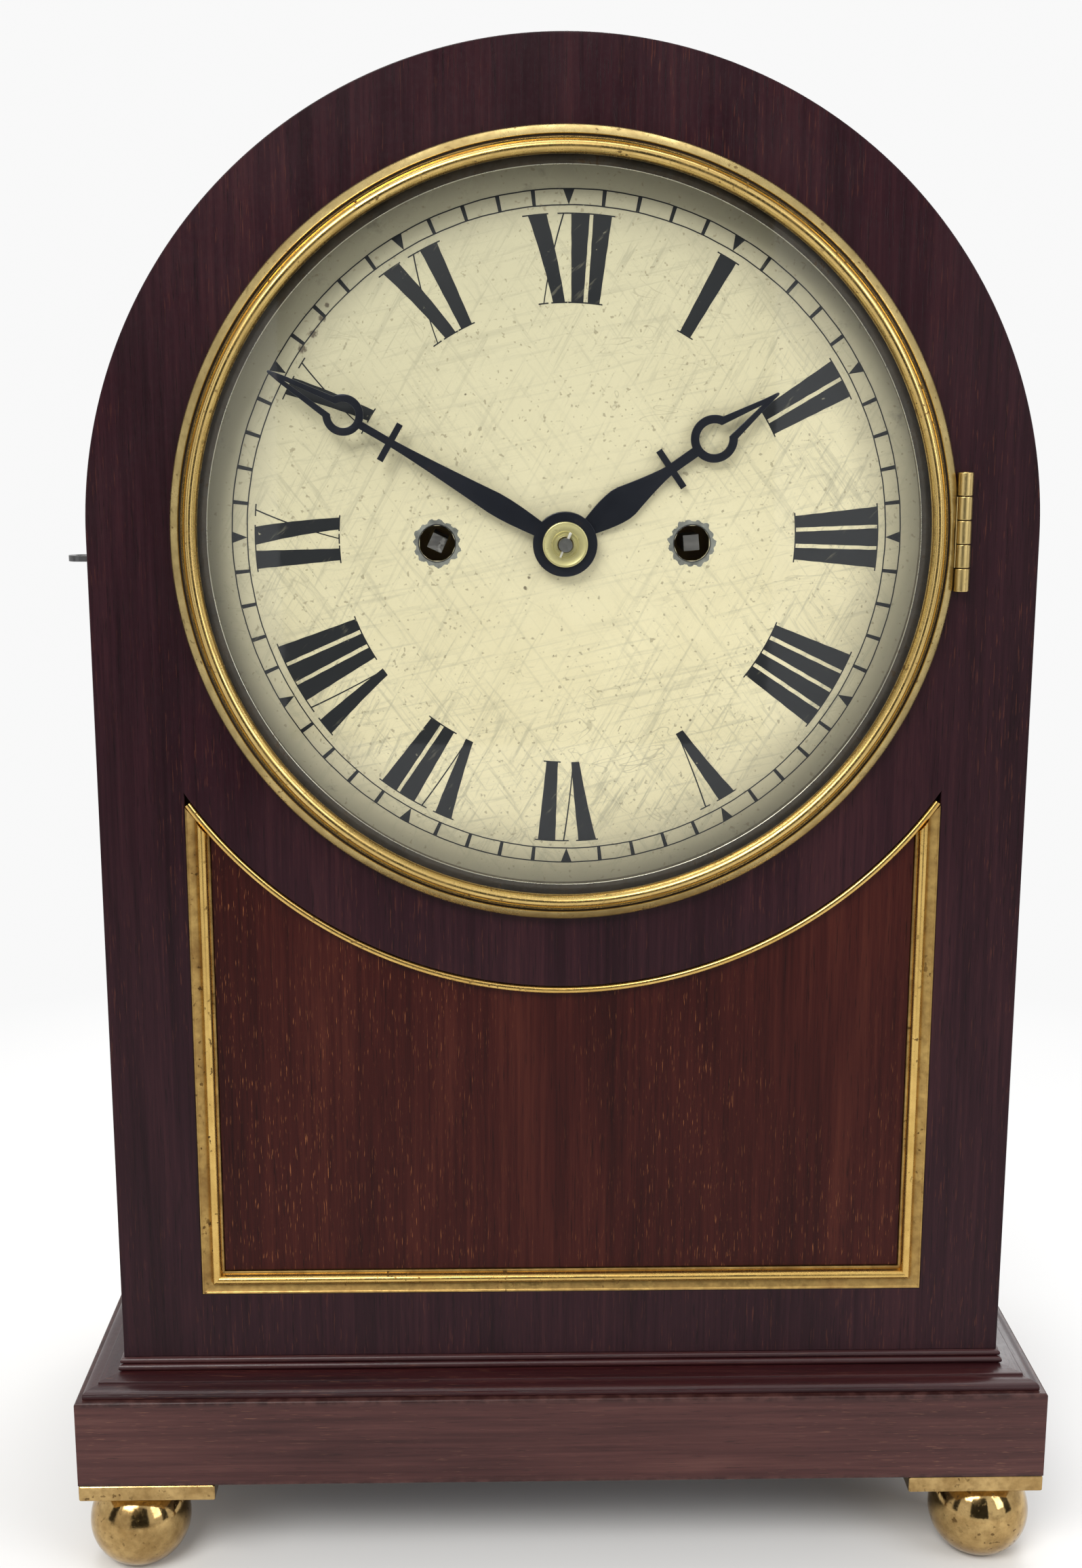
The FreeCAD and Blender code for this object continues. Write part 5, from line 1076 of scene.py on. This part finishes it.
def hands():
    hand("hour_pointer", "hour_hand", "hour_pipe", 55.0, 4.5, length=70.4, bar_at=35.2, bar_half=6.05,
         ring_at=49.3, ring_r=6.4, hole_r=4.1, blade_half=4.6, widest=20.0, slot_end=66.0, stem=1.4)
    hand("minute_pointer", "minute_hand", "centre_arbor", 300.0, 2.2, length=92.0, bar_at=54.6, bar_half=5.6,
         ring_at=69.0, ring_r=5.5, hole_r=3.4, blade_half=3.1, widest=22.0, slot_end=88.0, stem=1.05)
    lo, hi = B["hand_collet"]
    outline = [(2.2, hi[1])]
    outline += [(r, lo[1] + h) for r, h in (
        (2.2, 0.15), (2.35, 0.05), (2.75, 0.05), (2.9, 0.35), (3.3, 0.35), (3.45, 0.1), (3.6, 0.1),
        (3.75, 0.4), (5.3, 0.42), (5.55, 0.25), (5.8, 0.2), (6.1, 0.35), (6.2, 0.6))]
    build = lathe(Build(), outline + [(6.2, hi[1])], (0, HUB), turns=96)
    build.done("collet", "centre_arbor", "collet", replaces=["hand_collet"], slot="cast_brass", angle=40,
               weighted=False)
    lo, hi = B["hand_taper_pin"]
    ym = (lo[1] + hi[1]) / 2
    a = math.radians(PIN_LEAN)
    half = (hi[2] - lo[2]) / 2 / math.cos(a) - 0.2
    outline = fillet([(0.0, -half), (0.28, -half, 0.1), (0.45, half, 0.15), (0.0, half)], closed=False)
    build = lathe(Build(), outline, (0, 0), axis="z", turns=20, closed=False)
    build.verts = [(x * math.cos(a) + z * math.sin(a), y + ym, z * math.cos(a) - x * math.sin(a) + HUB)
                   for x, y, z in build.verts]
    build.done("taper_pin", "centre_arbor", "pin", replaces=["hand_taper_pin"], slot="steel", angle=40,
               weighted=False)


# ------------------------------------------------------------------ back
DOOR_RAIL, DOOR_REBATE = 21.0, 17.0   # width of the door's frame, and of its part behind the glass
HINGE_LENGTH = 36.0
CATCH_R = 7.0


def back_door():
    lo, hi = B["back_door_frame"]
    half, foot, y0, y1 = hi[0], lo[2], lo[1], hi[1]
    build = Build()
    for inward, near, far, soft in ((DOOR_RAIL, (y0 + y1) / 2, y1, dict(edge=0.5)),
                                    (DOOR_REBATE, y0, (y0 + y1) / 2, dict(edge=0.3, steps=2, back_edge=0))):
        slab(build, arch_loop(half, foot), [arch_loop(half - inward, foot + inward)], near, far, **soft)
    build.done("door_frame", "back_door", "door_z", replaces=["back_door_frame"], slot="mahogany")
    lo, hi = B["back_door_glass"]
    build = slab(Build(), arch_loop(hi[0], lo[2]), [], lo[1], hi[1], edge=0.15, steps=1)
    build.done("door_pane", "back_door", "door_glass", replaces=["back_door_glass"], slot="clear_glass")


def screw_head(build, x, z, y, rise=0.25, radius=1.8, dome=0.25):
    """Domed screw head facing back; y is the plane of its rim."""
    outline = [(0, y + rise + dome), (radius * 0.55, y + rise + dome * 0.7), (radius * 0.9, y + rise),
               (radius, y + rise * 0.4), (radius, y)]
    lathe(build, outline, (x, z), turns=28, closed=False)


def back_hinges():
    lo, hi = B["back_hinge_fixed_leaves"]
    inner_edge = B["back_hinge_moving_leaves"][0][0]
    r = 1.9
    x, y = lo[0] + r, hi[1] - r
    share = HINGE_LENGTH / 3
    fixed, moving = Build(), Build()
    for zc in (lo[2] + HINGE_LENGTH / 2, hi[2] - HINGE_LENGTH / 2):
        z0, z1 = zc - HINGE_LENGTH / 2, zc + HINGE_LENGTH / 2
        for i in range(3):
            knuckle(moving if i == 1 else fixed, x, y, z0 + i * share + 0.12, z0 + (i + 1) * share - 0.12, r)
        block(fixed, (x + r * 0.6, BACK + 0.02, z0), (hi[0], BACK + 1.2, z1), edge=0.25)
        block(moving, (inner_edge, BACK + 0.02, z0), (x - r * 0.6, BACK + 1.2, z1), edge=0.25)
        for build, sx in ((fixed, (x + r + hi[0]) / 2 + 0.6), (moving, (inner_edge + x - r) / 2 - 0.6)):
            for dz in (-12, 0, 12):
                screw_head(build, sx, zc + dz, BACK + 1.15)
    fixed.done("door_hinge_fixed", "case", "hinge", replaces=["back_hinge_fixed_leaves"], slot="cast_brass")
    moving.done("door_hinge_moving", "back_door", "hinge", replaces=["back_hinge_moving_leaves"],
                slot="cast_brass")


def catch():
    lo, hi = B["back_door_catch"]
    x, z = (lo[0] + hi[0]) / 2, lo[2] + CATCH_R
    y0, y1 = BACK + 0.05, hi[1]
    build = Build()
    plate = [(0, 0), (CATCH_R, 0), (CATCH_R, 0.7), (6.7, 1.1), (6.2, 1.15), (5.4, 0.95), (0, 0.95)]
    lathe(build, [(r, y0 + h) for r, h in plate], (x, z), turns=64, closed=False)
    grip = fillet([(-1.2, -6.2, 1), (1.2, -6.2, 1), (1.9, -2, 1), (1.2, 0, 1), (1.9, 2, 1), (1.2, 6.2, 1),
                   (-1.2, 6.2, 1), (-1.9, 2, 1), (-1.2, 0, 1), (-1.9, -2, 1)])
    slab(build, [(x + u, z + v) for u, v in grip], [], y0 + 0.5, y1, edge=0.5, back_edge=0.6)
    shaft = [(0, lo[1]), (2.5, lo[1]), (2.5, y0 + 0.5), (0, y0 + 0.5)]
    lathe(build, shaft, (x, z), turns=32, closed=False)
    tongue = fillet([(x - 3, z - 3, 1), (x + 3, z - 3, 1), (x + 3, hi[2], 1.2), (x - 3, hi[2], 1.2)])
    slab(build, tongue, [], lo[1], lo[1] + 1.6, edge=0.2, steps=2)
    build.done("turn_catch", "catch", "hinge", replaces=["back_door_catch"], slot="cast_brass")


# ------------------------------------------------------------------ bell and bob
BELL_BORE, BELL_WALL, BELL_SHOULDER = 2.3, 1.8, 2.2


def bell():
    lo, hi = B["bell"]
    r, z0, z1 = hi[0], lo[2], hi[2]
    curve = [math.pi / 2 * k / 29 for k in range(30)]
    outer = [(max(BELL_BORE, r * math.cos(a) ** 0.72),
              z0 + BELL_SHOULDER + (z1 - z0 - BELL_SHOULDER) * math.sin(a)) for a in curve]
    lip = [(r - 1.5, z0 + 0.3), (r - 0.9, z0), (r - 0.2, z0 + 0.3), (r, z0 + 1.0)]
    inner = [(max(BELL_BORE, p - BELL_WALL), q - BELL_WALL) for p, q in reversed(outer)]
    middle = (lo[0] + hi[0]) / 2, (lo[1] + hi[1]) / 2
    build = lathe(Build(), lip + outer + inner, middle, axis="z", turns=128)
    build.done("bell_cup", "case", "bell", replaces=["bell"], slot="bell_metal", angle=40, weighted=False)


def bob():
    lo, hi = B["pendulum_bob"]
    ym, half, r = (lo[1] + hi[1]) / 2, (hi[1] - lo[1]) / 2, hi[0]
    curve = [math.pi / 2 * k / 17 for k in range(1, 17)]
    front = [(0, lo[1])] + [(r * math.sin(a), ym - half * math.cos(a)) for a in curve]
    outline = front + [(r, ym - 0.4), (r, ym + 0.4)] + [(p, 2 * ym - q) for p, q in reversed(front)]
    build = lathe(Build(), outline, ((lo[0] + hi[0]) / 2, (lo[2] + hi[2]) / 2), turns=96, closed=False)
    build.done("bob", "pendulum", "bell", replaces=["pendulum_bob"], slot="movement_brass", angle=50,
               weighted=False)


for make in (case_shell, front_face, base_moulding, plinth_frame, pads_and_feet, lower_panel, strips,
             bezel, dome_glass, sight, bezel_hinge, dial_sheet, numerals, minute_ring, chipped_rings,
             hands, back_door, back_hinges, catch, bell, bob):
    make()

# ------------------------------------------------------------------ carried-over CAD nodes
KEPT = {
    "inside_x": ["seat_board"],
    "inside_y": ["seat_rails"],
    "front_plate": ["front_plate"],
    "plate": ["back_plate"],
    "centre": ["centre_wheel"],
    "fusee": ["going_fusee", "strike_fusee"],
    "gut": ["going_line", "strike_line"],
    "collet": ["rating_nut"],
    "steel": ["seat_bolts", "anchor", "pendulum_rod", "hammer"],
    "dark_steel": ["suspension_spring", "bell_stand", "repeat_lever"],
    "train": ["back_cock", "going_barrel", "strike_barrel", "third_wheel", "escape_wheel", "cannon_wheel",
              "minute_wheel", "hour_wheel", "pin_wheel", "gathering_wheel", "fly"],
}
for key, names in KEPT.items():
    for name in names:
        slots = nodes[name].data.materials
        if len(slots) == 0:
            slots.append(M[key])
        for i in range(len(slots)):
            slots[i] = M[key]

# ------------------------------------------------------------------ floor, light and world
WHITE = (0.945,) * 3                  # background as the camera, metal and glass see it
FLOOR_HALF = 4.0
FLOOR_NEAR, FLOOR_FAR = 0.22, 0.55    # the floor turns from lit to WHITE between these distances


def seen_rays(g):
    """1 for rays that show the background: from the camera, off gloss and through glass."""
    path = g.node("LightPath").outputs
    value = path["Is Camera Ray"]
    for key in ("Is Glossy Ray", "Is Transmission Ray"):
        value = g.maths("MAXIMUM", value, path[key])
    return value


def stage_plane(name, corners, material):
    mesh = bpy.data.meshes.new(name)
    mesh.from_pydata(corners, [], [(0, 1, 2, 3)])
    mesh.materials.append(material)
    obj = add_object(name, mesh)
    return obj


def stage_floor():
    g = Graph("floor_white")
    pale = g.mix(g.band(g.noise(3, detail=3), 0.3, 0.7), (0.77, 0.77, 0.77), (0.755, 0.755, 0.755))
    g.finish(pale, 0.7, Specular_IOR_Level=0.2)
    at = g.split()
    glow = g.node("Emission", Color=WHITE, Strength=1.0)
    far = g.band(g.length(at["X"], at["Y"]), FLOOR_NEAR, FLOOR_FAR)
    g.blend(g.mul(seen_rays(g), far), g.bsdf.outputs[0], glow.outputs[0])
    s = FLOOR_HALF
    stage_plane("floor", [(-s, -s, 0), (s, -s, 0), (s, s, 0), (-s, s, 0)], g.owner)


def dark_card(name, left, right, low, high):
    """Card that only polished surfaces see, so that brass and lacquer have something dark to mirror."""
    card = stage_plane(name, [(*left, low), (*right, low), (*right, high), (*left, high)], M["card"])
    card.visible_camera = card.visible_diffuse = card.visible_shadow = False
    card.visible_transmission = card.visible_volume_scatter = False


def sky():
    world = bpy.data.worlds.new("studio")
    bpy.context.scene.world = world
    g = Graph("studio", world)
    lit, seen = (g.node("Background", Color=colour, Strength=strength).outputs[0]
                 for colour, strength in (((1.0, 0.99, 0.975), 0.55), (WHITE, 1.0)))
    g.blend(seen_rays(g), lit, seen)


def lamp(name, place, target, size, power, colour=(1, 1, 1)):
    data = bpy.data.lights.new(name, "AREA")
    data.shape = "RECTANGLE"
    data.size, data.size_y = size
    data.energy = power
    data.color = colour
    obj = add_object(name, data)
    obj.location = Vector(place)
    obj.rotation_euler = (Vector(target) - obj.location).to_track_quat("-Z", "Y").to_euler()


stage_floor()
dark_card("card_front", (-0.30, -0.80), (0.26, -0.80), 0.02, 0.72)
dark_card("card_left", (-0.95, -0.40), (-0.80, -0.62), 0.05, 0.75)
dark_card("card_right", (0.80, -0.62), (0.95, -0.40), 0.05, 0.75)
sky()
lamp("key", (-0.55, -1.15, 1.25), (0, 0, 0.25), (0.9, 0.6), 20.0, (1.0, 0.985, 0.95))
lamp("fill", (1.1, -0.9, 0.8), (0, 0, 0.22), (0.8, 0.8), 8.0, (0.97, 0.985, 1.0))
lamp("top", (0.0, 0.25, 1.6), (0, 0, 0.2), (1.2, 0.9), 11.0)
lamp("rear", (0.3, 1.3, 0.9), (0, 0, 0.25), (1.0, 0.8), 10.0)

bpy.context.scene.view_settings.view_transform = "Standard"
